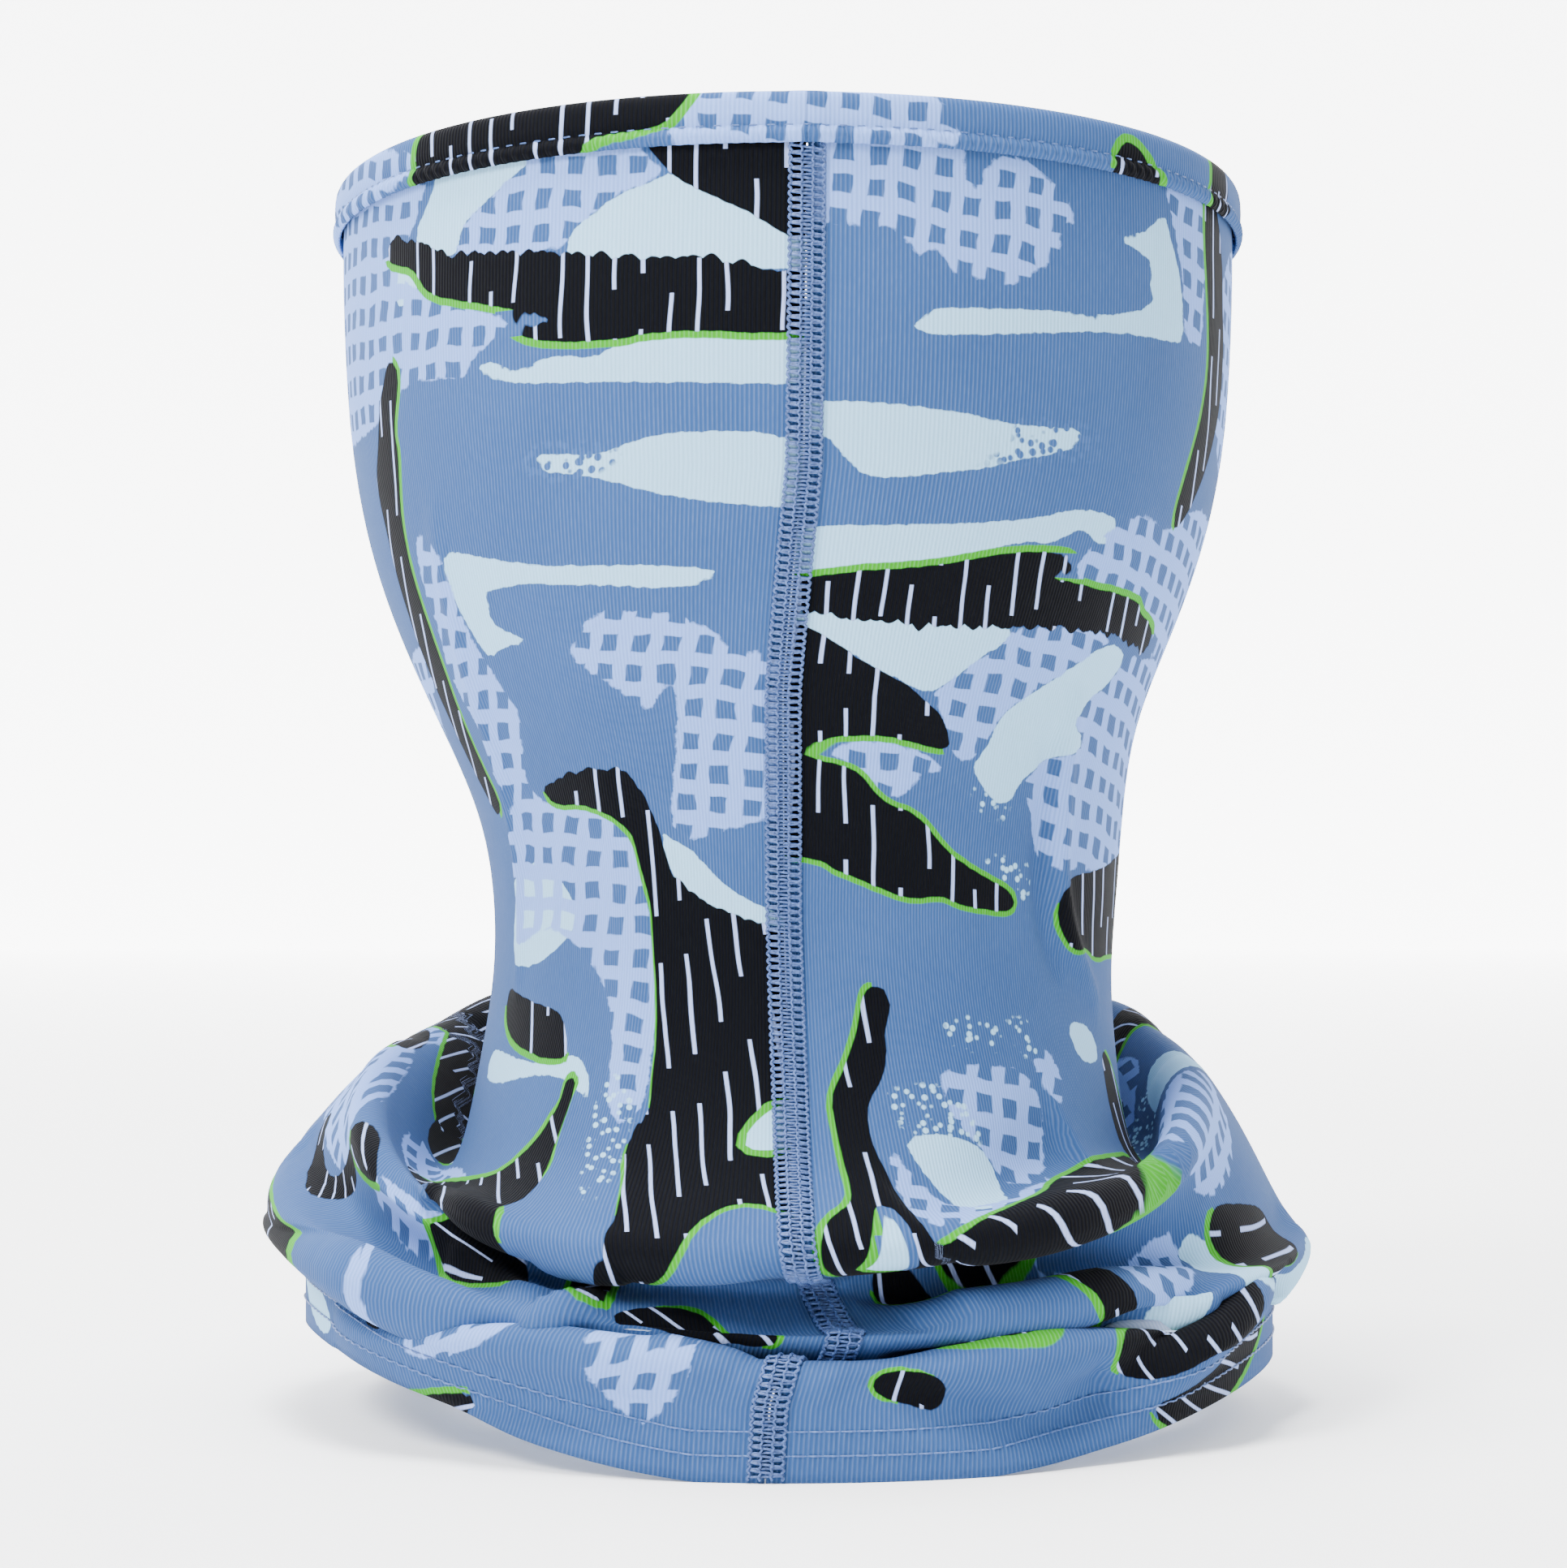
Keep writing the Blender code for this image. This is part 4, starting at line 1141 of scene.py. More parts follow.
    def inks(self, tree: Tree, worn: Socket, masks: dict, knit: tuple) -> Socket:
        """The inks laid over each other, with the ribs' crests painted paler, as yarn grinning
        through and painted highlight, and their valleys painted shade.

        Args:
            tree: the material's node tree.
            worn: the place on the worn cloth, in mm.
            masks: where each ink lies.
            knit: the ribs' height and the yarn's unevenness.

        Returns:
            The colour.
        """
        ribs, slub = knit
        bars = (masks["grid"], self.lattice(tree, worn))
        marks = (masks["black"], self.dashes(tree, worn))
        cloud = add_node(tree, NOISE, {"Vector": worn, "Scale": 0.04, "Detail": 3.0}).outputs[0]
        plain = {0: cloud, 6: linear(self.base), 7: linear(self.base_light)}
        colour = add_node(tree, MIX, plain, data_type="RGBA").outputs[2]
        for mask, ink in (
            (masks["ice"], self.ice),
            (masks["holes"], self.base_light),
            (add_node(tree, MATH, bars, operation="MULTIPLY").outputs[0], self.lavender),
            (masks["dots"], self.ice),
            (masks["green"], self.green),
            (masks["black"], self.black),
            (add_node(tree, MATH, marks, operation="MULTIPLY").outputs[0], self.dash),
            (masks["inlay"], self.ice),
        ):
            laid = {0: mask, 6: colour, 7: linear(ink)}
            colour = add_node(tree, MIX, laid, data_type="RGBA").outputs[2]
        # painted highlight, with the yarn grinning through, on each rib's crest
        crest = add_node(tree, MATH, (ribs, 3.0), operation="POWER").outputs[0]
        grin_and_highlight = add_node(tree, MATH, (crest, slub), operation="MULTIPLY").outputs[0]
        least = (masks["black"], -0.095, 0.1)  # hardly any yarn grinning through or painted highlight shows on the black
        depth = add_node(tree, MATH, least, operation="MULTIPLY_ADD").outputs[0]
        shown = add_node(tree, MATH, (grin_and_highlight, depth), operation="MULTIPLY").outputs[0]
        pale = {0: shown, 6: colour, 7: linear(self.yarn_and_highlight)}
        colour = add_node(tree, MIX, pale, data_type="RGBA").outputs[2]
        # painted shade in the valleys between the ribs
        low = add_node(tree, MATH, (1.0, ribs), operation="SUBTRACT").outputs[0]
        valley = add_node(tree, MATH, (low, 2.0), operation="POWER").outputs[0]
        dim = add_node(tree, MATH, (valley, 0.13), operation="MULTIPLY").outputs[0]
        shaded = {0: dim, 6: colour, 7: linear(self.shadow)}
        return add_node(tree, MIX, shaded, data_type="RGBA").outputs[2]


@dataclass(frozen=True)
class PlainKnit(Finish):
    """The same jersey's unprinted back: pale yarn, soft and matt, in low ribs with a fine fuzz; the
    crests are painted light and the valleys painted shade.
    """

    colour: str = "AAB9D2"
    # painted shade in the ribs' valleys
    valley_shade: str = "8A9DBF"
    rib: float = 0.75  # mm

    def make(self) -> bpy.types.Material:
        """Builds the material.

        Returns:
            The material.
        """
        made, shader = self.start()
        tree = made.node_tree
        mapped = add_node(tree, "ShaderNodeUVMap", uv_map="cloth").outputs[0]
        fuzz = add_node(tree, NOISE, {"Vector": mapped, "Scale": 220.0, "Detail": 4.0}).outputs[0]
        across = add_node(tree, SPLIT, (mapped,)).outputs[0]
        turn = (across, 2 * math.pi / (self.rib * MM))
        phase = add_node(tree, MATH, turn, operation="MULTIPLY").outputs[0]
        wave = add_node(tree, MATH, (phase,), operation="SINE").outputs[0]
        ribs = add_node(tree, MATH, (wave, 0.5, 0.5), operation="MULTIPLY_ADD").outputs[0]
        # painted light on the rib crests and painted shade in their valleys, broken by the fuzz
        lit = add_node(tree, MATH, (ribs, fuzz), operation="MULTIPLY").outputs[0]
        tones = {0: lit, 6: linear(self.valley_shade), 7: linear(self.colour)}
        mixed = add_node(tree, MIX, tones, data_type="RGBA").outputs[2]
        tree.links.new(mixed, shader.inputs["Base Color"])
        self.settle(shader, {"Roughness": 0.85, "Sheen Weight": 0.2})
        relief = {"Strength": 0.5, "Distance": 0.1 * MM, "Height": ribs}
        tree.links.new(add_node(tree, BUMP, relief).outputs[0], shader.inputs["Normal"])
        return made


@dataclass(frozen=True)
class Thread(Finish):
    """Textured polyester sewing thread: crimped filaments with a soft broken gloss."""

    colour: str = "1F3562"
    light: str = "5373B2"
    ply: float = 0.5  # mm from twist to twist

    def make(self) -> bpy.types.Material:
        """Builds the material.

        Returns:
            The material.
        """
        made, shader = self.start()
        tree = made.node_tree
        place = add_node(tree, "ShaderNodeTexCoord").outputs["Object"]
        crimp = {"Vector": place, "Scale": 1 / (self.ply * MM), "Detail": 2.0}
        twist = add_node(tree, NOISE, crimp).outputs[0]
        spread = {"Value": twist, "From Min": 0.3, "From Max": 0.9}
        lit = add_node(tree, RANGE, spread).outputs[0]
        tones = {0: lit, 6: linear(self.colour), 7: linear(self.light)}
        mixed = add_node(tree, MIX, tones, data_type="RGBA").outputs[2]
        tree.links.new(mixed, shader.inputs["Base Color"])
        self.settle(shader, {"Roughness": 0.5, "Sheen Weight": 0.03})
        relief = {"Strength": 0.4, "Distance": 0.08 * MM, "Height": twist}
        tree.links.new(add_node(tree, BUMP, relief).outputs[0], shader.inputs["Normal"])
        return made


@dataclass(frozen=True)
class LitPaper(Finish):
    """White diffusion paper lit from behind: an even bright surface with a faint fibre mottle."""

    colour: str = "F8F8F8"
    fibre: str = "F6F7F8"
    strength: float = 5.0

    def make(self) -> bpy.types.Material:
        """Builds the material.

        Returns:
            The material.
        """
        made, shader = self.start()
        tree = made.node_tree
        place = add_node(tree, "ShaderNodeTexCoord").outputs["Object"]
        mottle = add_node(tree, NOISE, {"Vector": place, "Scale": 3.0, "Detail": 2.0}).outputs[0]
        tones = {0: mottle, 6: linear(self.fibre), 7: linear(self.colour)}
        mixed = add_node(tree, MIX, tones, data_type="RGBA").outputs[2]
        tree.links.new(mixed, shader.inputs["Emission Color"])
        self.settle(shader, {"Emission Strength": self.strength, "Roughness": 1.0})
        self.settle(shader, {"Base Color": linear("F0F0F0")})
        return made


@dataclass(frozen=True)
class StudioPaper(Finish):
    """Matt white background paper: a very fine fibre mottle and no gloss.

    It glows more and more towards its far end, a painted light that stands in for the backdrop's
    lamps, so that the two meet unseen.
    """

    colour: str = "F7F7F7"
    fibre: str = "F3F3F3"
    lit: str = "F7F7F8"
    far: float = 2.2  # metres behind the piece, at the backdrop
    glow: tuple[float, float] = (0.12, 5.0)  # under the piece and at the backdrop

    def make(self) -> bpy.types.Material:
        """Builds the material.

        Returns:
            The material.
        """
        made, shader = self.start()
        tree = made.node_tree
        place = add_node(tree, "ShaderNodeTexCoord").outputs["Object"]
        mottle = add_node(tree, NOISE, {"Vector": place, "Scale": 60.0, "Detail": 4.0}).outputs[0]
        tones = {0: mottle, 6: linear(self.fibre), 7: linear(self.colour)}
        mixed = add_node(tree, MIX, tones, data_type="RGBA").outputs[2]
        tree.links.new(mixed, shader.inputs["Base Color"])
        self.settle(shader, {"Roughness": 0.95, "Specular IOR Level": 0.1})
        # painted light: the floor glows faintly under the piece and brightly at the backdrop
        back = add_node(tree, SPLIT, (place,)).outputs[1]
        near, far = self.glow
        ramp = {"Value": back, "From Min": 0.0, "From Max": self.far, "To Min": near, "To Max": far}
        glow = add_node(tree, RANGE, ramp).outputs[0]
        tree.links.new(glow, shader.inputs["Emission Strength"])
        self.settle(shader, {"Emission Color": linear(self.lit)})
        return made


# Sub-assemblies

THREAD_RADIUS = 0.17  # mm, of the band's and the hem's threads
STITCH_DIP = -0.9  # where a stitch's thread goes down into its hole, against 0 on the cloth
STITCH_CREST = 0.7  # where it lies flat between two holes


def sheet_mesh(
    name: str, points: np.ndarray, degrees: np.ndarray, down: np.ndarray, flip: bool
) -> bpy.types.Object:
    """A sheet through a grid of points, with its UV maps.

    Args:
        name: the piece's name.
        points: (column, row, xyz) in metres.
        degrees: (column, row) degrees from the seam, from 0 to 360.
        down: (column, row) mm down the cloth.
        flip: whether its faces have to be turned over to face out.

    Returns:
        The new piece.
    """
    columns, rows = points.shape[0] - 1, points.shape[1] - 1
    bpy.ops.object.select_all(action="DESELECT")
    bpy.ops.mesh.primitive_grid_add(x_subdivisions=columns, y_subdivisions=rows, size=1)
    piece = bpy.context.object
    piece.name = piece.data.name = name
    mesh = piece.data
    by_row = points.transpose(1, 0, 2).astype(np.float32)
    mesh.vertices.foreach_set("co", np.ascontiguousarray(by_row).ravel())
    while mesh.uv_layers:
        mesh.uv_layers.remove(mesh.uv_layers[0])
    corner = np.empty(len(mesh.loops), np.int32)
    mesh.loops.foreach_get("vertex_index", corner)
    column, row = corner % (columns + 1), corner // (columns + 1)
    angle = degrees[column, row]
    middle = angle.reshape(-1, 4).mean(axis=1).repeat(4)
    angle = np.where(middle > FULL_TURN / 2, angle - FULL_TURN, angle)
    radius = np.hypot(points[column, row, 0], points[column, row, 1])
    drop = down[column, row] * MM
    for layer, across in (
        ("cloth", angle / FULL_TURN * GIRTH * MM),
        ("worn", np.radians(angle) * radius),
    ):
        made = mesh.uv_layers.new(name=layer)
        made.data.foreach_set("uv", np.stack([across, drop], axis=1).astype(np.float32).ravel())
    if flip:
        mesh.flip_normals()
    mesh.update()
    bpy.ops.object.shade_smooth()
    return piece


def ink_sheet(
    piece: bpy.types.Object, layers: dict[str, np.ndarray], shape: tuple[int, int]
) -> None:
    """Stores a print's layers on a sheet's points.

    Args:
        piece: the sheet.
        layers: each layer's values, by column and then row.
        shape: how many columns and rows of points the sheet has.
    """
    for name, values in layers.items():
        stored = piece.data.attributes.new(name, "FLOAT", "POINT")
        by_row = values.reshape(shape).T.astype(np.float32)
        stored.data.foreach_set("value", np.ascontiguousarray(by_row).ravel())


def thicken(
    piece: bpy.types.Object, thickness: float, offset: float, other_side: int = 0
) -> None:
    """Gives a sheet its thickness.

    Args:
        piece: the sheet.
        thickness: mm.
        offset: -1 thickens it inwards, 0 evenly.
        other_side: how many material slots on the inner side's material is.
    """
    wall = piece.modifiers.new("cloth_thickness", "SOLIDIFY")
    wall.thickness = thickness * MM
    wall.offset = offset
    wall.material_offset = other_side
    wall.material_offset_rim = 0
    bpy.context.view_layer.objects.active = piece
    bpy.ops.object.modifier_apply(modifier=wall.name)


def thread_mesh(
    name: str, path: np.ndarray, radius: float, closed: bool = False
) -> bpy.types.Object:
    """A thread along a path.

    Args:
        name: the piece's name.
        path: the path's points in metres, one row each.
        radius: mm.
        closed: whether it runs round and joins its own start.

    Returns:
        The new piece, as a mesh.
    """
    data = bpy.data.curves.new(name, "CURVE")
    data.dimensions = "3D"
    data.bevel_depth = radius * MM
    data.bevel_resolution = 1
    data.use_fill_caps = not closed
    run = data.splines.new("POLY")
    run.points.add(len(path) - 1)
    weighted = np.hstack([path, np.ones((len(path), 1))]).astype(np.float32)
    run.points.foreach_set("co", weighted.ravel())
    run.use_cyclic_u = closed
    piece = bpy.data.objects.new(name, data)
    bpy.context.scene.collection.objects.link(piece)
    bpy.ops.object.select_all(action="DESELECT")
    piece.select_set(True)
    bpy.context.view_layer.objects.active = piece
    bpy.ops.object.convert(target="MESH")
    piece = bpy.context.object
    piece.data.name = name
    bpy.ops.object.shade_smooth()
    return piece


def stitch_row(round_mm: float, length: float, lifted: float) -> tuple[np.ndarray, np.ndarray]:
    """A closed row of stitches, laid down evenly round the tube.

    Args:
        round_mm: the row's radius, in mm.
        length: mm from stitch to stitch.
        lifted: how much more of the thread lies up on the cloth than down in its holes.

    Returns:
        Places along its thread, in degrees from the seam, and how the thread stands at each.
    """
    count = round(2 * math.pi * round_mm / length)
    steps = np.arange(count * STITCH_STEPS) / (count * STITCH_STEPS)
    wave = np.cos(2 * math.pi * steps * count) + lifted
    return steps * FULL_TURN, np.clip(wave, STITCH_DIP, STITCH_CREST)


def place_piece(
    piece: bpy.types.Object, node: str, slot: str, *finishes: bpy.types.Material
) -> None:
    """Dresses a finished piece, hangs it on the root body and hides the CAD node that it stands
    for.

    Args:
        piece: the piece.
        node: the CAD node that it replaces.
        slot: the record's material slot; not used.
        *finishes: its materials, the outer one first. A sheet already has its own.
    """
    for finish in finishes:
        piece.data.materials.append(finish)
    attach(piece, ROOT)
    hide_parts(node)
    log.info("%s: %d faces", piece.name, len(piece.data.polygons))


@dataclass
class Panel:
    """The printed panel, wrapped into the tube."""

    cloth: WornCloth
    thickness: float = 0.8  # mm

    def build(self, printed: bpy.types.Material, plain: bpy.types.Material) -> bpy.types.Object:
        """Makes the panel.

        Args:
            printed: the outer side's material.
            plain: the inner side's.

        Returns:
            The piece.
        """
        cloth = self.cloth
        piece = sheet_mesh("printed_panel", cloth.points, cloth.degrees, cloth.down, flip=True)
        layers = Printing(PANEL_PRINT).layers(cloth.degrees, cloth.down)
        ink_sheet(piece, layers, cloth.down.shape)
        piece.data.materials.append(printed)
        piece.data.materials.append(plain)
        thicken(piece, self.thickness, -1, other_side=1)
        place_piece(piece, "body_panel", "printed_knit")
        return piece


@dataclass
class TopBand:
    """The strip folded over the top edge, with its rolled lower edge and its stitch row."""

    cloth: WornCloth
    columns: int = 1060
    thickness: float = 0.5  # mm
    radius: float = 85.0  # mm, of the raw edge
    # Its section from the inner lower edge over the fold to the outer one, as mm out and mm up.
    section: tuple = (
        (-1.35, -6.3), (-1.4, -4.4), (-1.4, -2.2), (-1.35, -0.4), (-1.0, 0.9), (-0.45, 1.45),
        (0.2, 1.5), (0.8, 1.1), (1.15, 0.2), (1.2, -1.4), (1.15, -2.7), (0.9, -3.5),
        (0.75, -4.0), (0.95, -4.5), (1.3, -5.0), (1.35, -5.6), (1.1, -6.1), (0.6, -6.4),
    )
    outer_from: float = 0.3  # mm out, where the section's outer side starts
    roll_from: float = -4.2  # mm up, where its rolled edge starts
    roll_pitch: float = 2.3  # mm from one crossing to the next on the rolled edge
    roll_slant: float = 2.6  # mm up in which a crossing leans over by one pitch
    roll_depth: float = 0.16  # mm
    stitch_radius: float = 86.0  # mm, of the stitch row
    stitch_length: float = 2.9  # mm
    stitch_drop: float = 3.95  # mm below the raw edge
    stitch_height: float = 0.42  # mm, how far its thread goes up and down
    stitch_out: tuple[float, float] = (0.95, 1.3)  # mm from the raw edge, outside and inside
    lap: float = 0.5  # mm, how far the band's own join stands out at the seam
    lap_reach: float = 3.2  # mm to either side of the seam

    def frames(self, degrees: np.ndarray) -> tuple[np.ndarray, np.ndarray, np.ndarray]:
        """The raw edge, with the directions that the band's section is laid out in.

        Args:
            degrees: places round it from the seam.

        Returns:
            The edge's points in metres, and its outward and upward unit directions.
        """
        top, _ = self.cloth.round_row(0, degrees)
        below, _ = self.cloth.round_row(2, degrees)
        up = top - below
        up /= np.linalg.norm(up, axis=1, keepdims=True)
        angle = np.radians(degrees)
        along = np.stack([np.cos(angle), np.sin(angle), np.zeros(len(angle))], axis=1)
        out = np.cross(along, up)
        return top, out / np.linalg.norm(out, axis=1, keepdims=True), up

    def join(self, from_seam: np.ndarray) -> np.ndarray:
        """How far the band's own join stands out at these mm from the seam, in mm."""
        return self.lap * np.exp(-((from_seam / self.lap_reach) ** 4))

    def build(self, printed: bpy.types.Material, plain: bpy.types.Material) -> bpy.types.Object:
        """Makes the strip.

        Args:
            printed: the outer side's material.
            plain: the inner side's.

        Returns:
            The piece.
        """
        degrees = np.linspace(0, FULL_TURN, self.columns + 1)
        top, out, up = self.frames(degrees)
        to_mm = 2 * math.pi * self.radius / FULL_TURN
        section = smooth_path(self.section, closed=False, rounds=1)
        lengths = np.concatenate([[0], np.cumsum(np.hypot(*np.diff(section, axis=0).T))])
        fold = lengths[np.argmax(section[:, 1])]
        outer = section[:, 0] > self.outer_from
        rolled = outer & (section[:, 1] < self.roll_from)
        lap = self.join(np.minimum(degrees, FULL_TURN - degrees) * to_mm)
        turns = (degrees * to_mm / self.roll_pitch)[:, None] + section[:, 1] / self.roll_slant
        ripple = np.where(rolled, self.roll_depth * np.sin(2 * math.pi * turns), 0.0)
        reach = section[:, 0] + ripple + np.where(outer, lap[:, None], 0.0)
        shift = reach[..., None] * out[:, None] + section[:, 1, None] * up[:, None]
        points = top[:, None] + shift * MM
        spread = np.repeat(degrees[:, None], len(section), axis=1)
        down = np.repeat(np.abs(lengths - fold)[None], len(degrees), axis=0)
        piece = sheet_mesh("bound_top_edge", points, spread, down, flip=False)
        ink_sheet(piece, Printing(BAND_PRINT).layers(spread, down), down.shape)
        piece.data.materials.append(printed)
        piece.data.materials.append(plain)
        thicken(piece, self.thickness, -1, other_side=0)
        place_piece(piece, "top_band", "printed_band")
        return piece

    def stitches(
        self, name: str, node: str, side: int, finish: bpy.types.Material
    ) -> bpy.types.Object:
        """Makes the stitch row's thread on one side of the band.

        Args:
            name: the piece's name.
            node: the CAD node that it replaces.
            side: 1 is the outer side and -1 the inner one.
            finish: the thread's material.

        Returns:
            The piece.
        """
        degrees, wave = stitch_row(self.stitch_radius, self.stitch_length, 0.35)
        top, out, up = self.frames(degrees)
        outer, inner = self.stitch_out
        reach = side * ((outer if side > 0 else inner) + self.stitch_height * wave)
        if side > 0:
            to_mm = 1.5  # mm to a degree at the stitch row
            reach = reach + self.join(np.minimum(degrees, FULL_TURN - degrees) * to_mm)
        path = top + (out * reach[:, None] - up * self.stitch_drop) * MM
        piece = thread_mesh(name, path, THREAD_RADIUS, closed=True)
        place_piece(piece, node, "hem_thread", finish)
        return piece


@dataclass
class BottomHem:
    """The turned-up allowance inside the bottom edge, and the coverstitch through both layers."""

    cloth: WornCloth
    gap: float = 1.25  # mm from the panel's face in to the turn-up
    thickness: float = 0.8  # mm
    top: float = 10.2  # mm above the edge, where the allowance ends
    bottom: float = 0.7  # mm above the edge, where it starts
    rows: tuple[float, float] = (4.5, 8.5)  # mm above the edge
    radius: float = 91.0  # mm, of the stitch rows
    stitch_length: float = 2.6  # mm
    stitch_height: float = 0.26  # mm, how far its thread goes up and down
    stitch_out: float = 0.02  # mm out of the panel's face
    columns: int = 360
    turn_up_rows: int = 7
    looper_steps: int = 4  # points of the looper's path for each stitch
    looper_depth: float = 2.0  # mm in from the panel's face

    def band(
        self, out: float | np.ndarray, heights: np.ndarray, degrees: np.ndarray
    ) -> np.ndarray:
        """Points round the hem.

        Args:
            out: mm out of the cloth, one for all or one for each place.
            heights: mm above the hem's edge.
            degrees: places round it from the seam.

        Returns:
            Points in metres, by height and place.
        """
        last, steps = self.cloth.row_count() - 1, self.cloth.hem_steps
        layers = [self.cloth.round_row(last - i, degrees) for i in range(steps + 1)]
        known = np.linspace(0, self.cloth.hem_height, len(layers))
        points = np.array([layer[0] for layer in layers])
        normals = np.array([layer[1] for layer in layers])
        found = []
        for height in heights:
            share = np.interp(height, known, np.arange(len(layers)))
            low = min(int(share), len(layers) - 2)
            mixed = points[low] + (points[low + 1] - points[low]) * (share - low)
            facing = normals[low] + (normals[low + 1] - normals[low]) * (share - low)
            found.append(mixed + facing * np.broadcast_to(out, len(degrees))[:, None] * MM)
        return np.array(found)

    def turn_up(self, plain: bpy.types.Material) -> bpy.types.Object:
        """Makes the allowance: one inner layer that ends just above the upper stitch row.

        Args:
            plain: its material.

        Returns:
            The piece.
        """
        degrees = np.linspace(0, FULL_TURN, self.columns + 1)
        heights = np.linspace(self.top, self.bottom, self.turn_up_rows + 1)
        points = self.band(-self.gap, heights, degrees).transpose(1, 0, 2)
        spread = np.repeat(degrees[:, None], len(heights), axis=1)
        down = np.repeat((self.top - heights)[None], len(degrees), axis=0)
        piece = sheet_mesh("hem_allowance", points, spread, down, flip=True)
        piece.data.materials.append(plain)
        thicken(piece, self.thickness, 0)
        place_piece(piece, "hem_turn_up", "unprinted_knit")
        return piece

    def needle_row(
        self, name: str, node: str, rise: float, finish: bpy.types.Material
    ) -> bpy.types.Object:
        """Makes one row of needle stitches on the outside.

        Args:
            name: the piece's name.
            node: the CAD node that it replaces.
            rise: mm above the hem's edge.
            finish: the thread's material.

        Returns:
            The piece.
        """
        degrees, wave = stitch_row(self.radius, self.stitch_length, 0.3)
        out = self.stitch_out + self.stitch_height * wave
        path = self.band(out, np.array([rise]), degrees)[0]
        piece = thread_mesh(name, path, THREAD_RADIUS, closed=True)
        place_piece(piece, node, "hem_thread", finish)
        return piece

    def looper(self, finish: bpy.types.Material) -> bpy.types.Object:
        """Makes the looper thread, which zigzags between the two rows on the inside.

        Args:
            finish: the thread's material.

        Returns:
            The piece.
        """
        count = round(2 * math.pi * self.radius / self.stitch_length)
        steps = np.arange(count * self.looper_steps) / (count * self.looper_steps)
        low, high = self.band(-self.looper_depth, np.array(self.rows), steps * FULL_TURN)
        share = 0.5 + 0.5 * np.cos(2 * math.pi * steps * count)
        path = low + (high - low) * share[:, None]
        piece = thread_mesh("hem_looper", path, THREAD_RADIUS, closed=True)
        place_piece(piece, "hem_looper_thread", "hem_thread", finish)
        return piece


@dataclass
class BackSeam:
    """The flatlock seam: four needle threads, the cover thread over them and the looper behind."""

    cloth: WornCloth
    width: float = 5.8  # mm
    strip: float = 3.6  # mm to either side of its middle, over which the cloth is followed
    start: float = 6.5  # mm down the cloth, at the band's lower edge
    pitch: float = 1.3  # mm from stitch to stitch
    needle_across: tuple = (-2.75, -0.95, 0.95, 2.75)  # mm from the seam's middle
    # How far a needle thread swings across and how far out it stands, in mm
    edge_course: tuple[float, float] = (0.24, 0.5)
    inner_course: tuple[float, float] = (0.16, 0.95)
    needle_lift: float = 0.14  # mm, how far it goes up and down
    # A crossing from side to side: its shares of half the width, and its mm out of the cloth
    crossing: tuple = (-1, -0.8, -0.4, 0, 0.4, 0.8, 1)
    cover_out: tuple = (0.1, 0.42, 0.6, 0.5, 0.6, 0.42, 0.1)
    looper_out: float = -1.1
    hem_margin: float = 0.6  # mm above the hem's edge, where the outer threads end
    looper_margin: float = 12.0  # mm above that, where the looper ends, over the turn-up
    # Radii in mm of the threads at its edges, inside them, over it and behind it
    edge_radius: float = 0.25
    inner_radius: float = 0.22
    cover_radius: float = 0.25
    looper_radius: float = 0.16

    def path(self, across: np.ndarray, down: np.ndarray, out: np.ndarray) -> np.ndarray:
        """Points near the seam.

        Args:
            across: mm to the right of its middle.
            down: mm down the cloth.
            out: mm out of the cloth.

        Returns:
            The points in metres.
        """
        places = np.linspace(-self.strip, self.strip, 9)
        lines = [self.cloth.beside_seam(place) for place in places]
        points = np.array([line[0] for line in lines])
        normals = np.array([line[1] for line in lines])
        known = lines[0][2]
        column = np.interp(across, places, np.arange(len(places)))
        row = np.interp(down, known, np.arange(len(known)))
        i = np.minimum(column.astype(int), len(places) - 2)
        j = np.minimum(row.astype(int), len(known) - 2)
        u, v = (column - i)[:, None], (row - j)[:, None]

        def blend(values: np.ndarray) -> np.ndarray:
            """Values between the grid's lines and rows."""
            upper = values[i, j] * (1 - u) + values[i + 1, j] * u
            lower = values[i, j + 1] * (1 - u) + values[i + 1, j + 1] * u
            return upper * (1 - v) + lower * v

        return blend(points) + blend(normals) * out[:, None] * MM

    def end(self) -> float:
        """Mm down the cloth at which the seam's outer threads end, at the hem's edge."""
        return float(self.cloth.down[0, -1]) - self.hem_margin

    def needle(self, number: int, finish: bpy.types.Material) -> bpy.types.Object:
        """Makes one needle thread: a wavy chain at an edge, or a ridge of stitches inside.

        Args:
            number: 0 to 3, from left to right.
            finish: the thread's material.

        Returns:
            The piece.
        """
        count = round((self.end() - self.start) / self.pitch)
        steps = np.linspace(0, 1, count * STITCH_STEPS + 1)
        down = self.start + (self.end() - self.start) * steps
        phase = 2 * math.pi * steps * count + number
        edge = number in (0, 3)
        swing, rise = self.edge_course if edge else self.inner_course
        across = self.needle_across[number] + swing * np.sin(phase)
        path = self.path(across, down, rise + self.needle_lift * np.cos(phase * 2))
        radius = self.edge_radius if edge else self.inner_radius
        piece = thread_mesh(f"seam_chain_{number + 1}", path, radius)
        place_piece(piece, f"seam_needle_thread_{number + 1}", "seam_thread", finish)
        return piece

    def crossings(
        self, name: str, node: str, finish: bpy.types.Material, outside: bool
    ) -> bpy.types.Object:
        """Makes the thread that crosses the seam from side to side all the way down.

        Args:
            name: the piece's name.
            node: the CAD node that it replaces.
            finish: the thread's material.
            outside: whether it is the cover thread, and not the looper on the inside.

        Returns:
            The piece.
        """
        last = self.end() if outside else self.end() - self.looper_margin
        run = last - self.start - 1
        count = 2 * round(run / self.pitch)
        profile = np.array(self.crossing)
        lift = np.array(self.cover_out) if outside else np.full(len(profile), self.looper_out)
        across, down, out = [], [], []
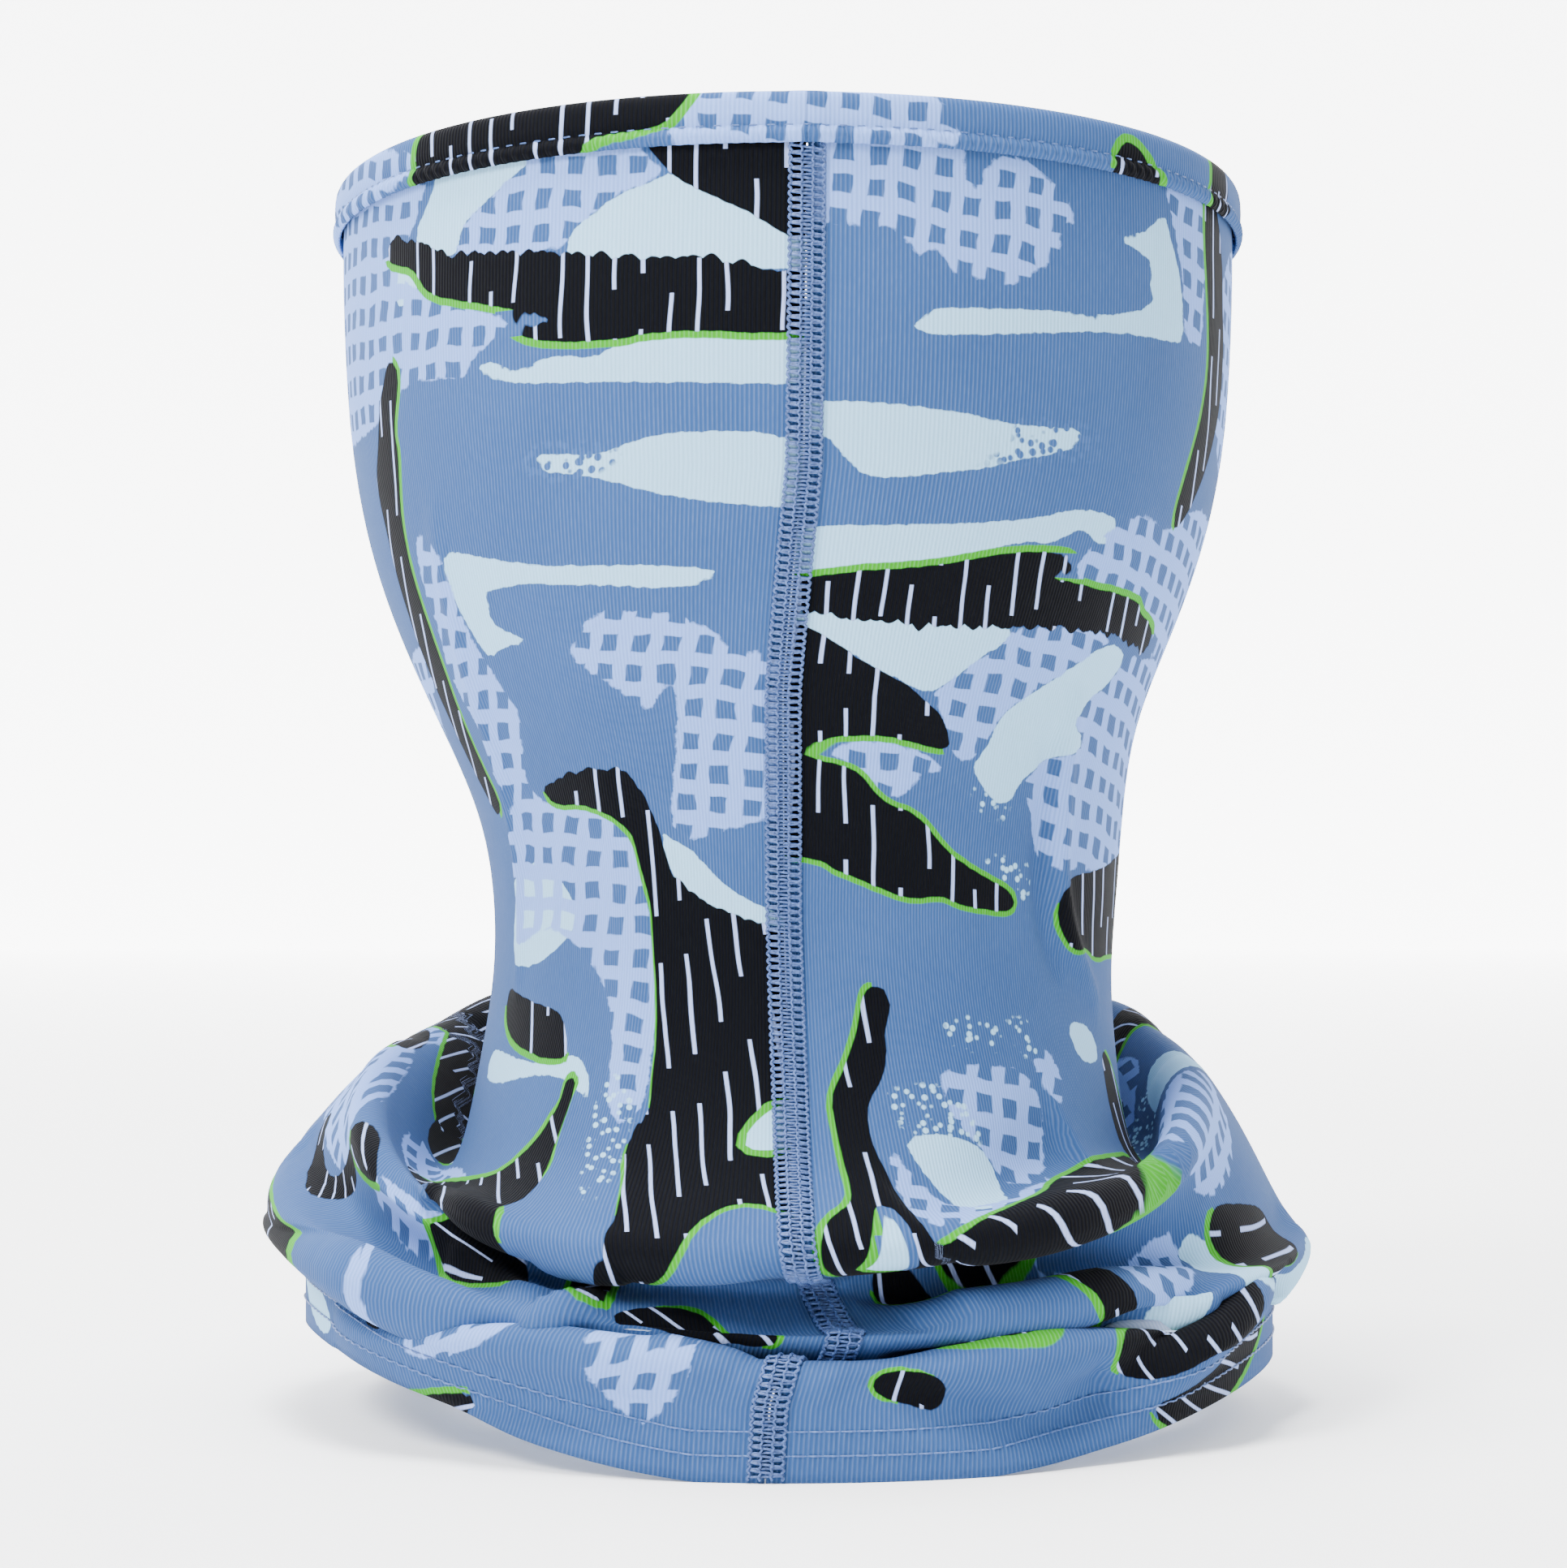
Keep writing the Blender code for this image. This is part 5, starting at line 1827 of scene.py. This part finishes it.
        # Each crossing leans down the seam, and every other one lies over the one before
        for i in range(count):
            way, lean, over = (1, 0.42, 0.12) if i % 2 == 0 else (-1, 0.12, 0.0)
            across.append(profile * self.width / 2 * way)
            down.append(self.start + 0.7 + run * (i + 0.5) / count + profile * lean)
            out.append(lift + over)
        path = self.path(np.concatenate(across), np.concatenate(down), np.concatenate(out))
        piece = thread_mesh(name, path, self.cover_radius if outside else self.looper_radius)
        place_piece(piece, node, "seam_thread", finish)
        return piece


@dataclass
class Studio:
    """The camera, the pale sweep of paper and the soft lights."""

    distance: float = 0.80  # metres from the tube's axis to the camera
    aside: float = -0.0008  # metres, the camera's place to the right
    eye: float = 0.115  # metres, the camera's height
    view_width: float = 291.6  # mm seen across the picture at the tube's axis
    sensor: float = 36.0  # mm
    floor_radius: float = 30.0  # metres
    backdrop: tuple[float, float] = (9.0, 5.0)  # metres wide and tall
    behind: float = 2.2  # metres from the tube's axis to the backdrop
    sunk: float = 0.2  # metres of the backdrop that lie under the floor

    def camera(self) -> None:
        """Places the camera level, behind the wearer's neck."""
        data = bpy.data.cameras.new("studio_camera")
        data.sensor_width = self.sensor
        data.lens = self.sensor * self.distance / (self.view_width * MM)
        data.clip_start = 0.01
        obj = bpy.data.objects.new("studio_camera", data)
        obj.location = (self.aside, -self.distance, self.eye)
        obj.rotation_euler = (math.radians(90), 0, 0)
        bpy.context.scene.collection.objects.link(obj)
        bpy.context.scene.camera = obj

    def sweep(self, paper: bpy.types.Material, lit: bpy.types.Material) -> None:
        """A floor of white paper, and a lit backdrop that stands on it behind the piece.

        Args:
            paper: the floor's material.
            lit: the backdrop's.
        """
        bpy.ops.object.select_all(action="DESELECT")
        bpy.ops.mesh.primitive_circle_add(
            vertices=96, radius=self.floor_radius, fill_type="NGON", location=(0, 0, 0)
        )
        floor = bpy.context.object
        floor.name = floor.data.name = "studio_floor"
        floor.data.materials.append(paper)
        bpy.ops.object.select_all(action="DESELECT")
        bpy.ops.mesh.primitive_plane_add(size=1)
        backdrop = bpy.context.object
        backdrop.name = backdrop.data.name = "studio_backdrop"
        wide, tall = self.backdrop
        corners = ((-wide, 0), (wide, 0), (-wide, tall), (wide, tall))
        for vertex, (x, z) in zip(backdrop.data.vertices, corners):
            vertex.co = (x / 2, self.behind, z - self.sunk)
        backdrop.data.materials.append(lit)

    def lights(self) -> None:
        """Places the soft boxes and the even pale surround."""
        world = bpy.data.worlds.new("studio_surround")
        world.use_nodes = True
        background = world.node_tree.nodes["Background"]
        background.inputs["Color"].default_value = linear("F6F7F9")
        background.inputs["Strength"].default_value = 0.8
        bpy.context.scene.world = world
        # Each box's place and size in metres, and its power in watts
        for name, place, size, power in (
            ("key", (-0.7, -0.9, 1.0), 0.45, 37.0),
            ("fill", (0.9, -0.7, 0.5), 0.8, 3.0),
            ("top", (-0.1, -0.2, 1.3), 0.5, 44.0),
        ):
            data = bpy.data.lights.new(f"softbox_{name}", "AREA")
            data.size = size
            data.energy = power
            obj = bpy.data.objects.new(f"softbox_{name}", data)
            obj.location = place
            aim = Vector((0, 0, 0.1)) - obj.location
            obj.rotation_euler = aim.to_track_quat("-Z", "Y").to_euler()
            bpy.context.scene.collection.objects.link(obj)


def main() -> None:
    """Builds the gaiter and its studio."""
    logging.basicConfig(level=logging.INFO, format="%(name)s: %(message)s")
    cloth = WornCloth(ridges=FOLDS)
    studio = Studio()
    studio.camera()
    printed = PrintedKnit("printed_rib_jersey").make()
    plain = PlainKnit("jersey_back").make()
    seam_thread = Thread("textured_seam_thread").make()
    hem_thread = Thread("spun_hem_thread", "26437A", "5878B0").make()

    panel = Panel(cloth).build(printed, plain)
    band_maker = TopBand(cloth)
    band = band_maker.build(printed, plain)
    hem = BottomHem(cloth)
    allowance = hem.turn_up(plain)
    band_maker.stitches("band_stitches_outer", "band_needle_thread", 1, hem_thread)
    band_maker.stitches("band_stitches_inner", "band_bobbin_thread", -1, hem_thread)
    hem.needle_row("hem_stitches_upper", "hem_needle_thread_upper", hem.rows[1], hem_thread)
    hem.needle_row("hem_stitches_lower", "hem_needle_thread_lower", hem.rows[0], hem_thread)
    hem.looper(hem_thread)
    seam = BackSeam(cloth)
    for number in range(4):
        seam.needle(number, seam_thread)
    seam.crossings("seam_cover", "seam_cover_thread", seam_thread, outside=True)
    seam.crossings("seam_looper", "seam_looper_thread", seam_thread, outside=False)

    studio.sweep(StudioPaper("background_paper").make(), LitPaper("lit_diffusion_paper").make())
    studio.lights()


if __name__ == "__main__":
    main()
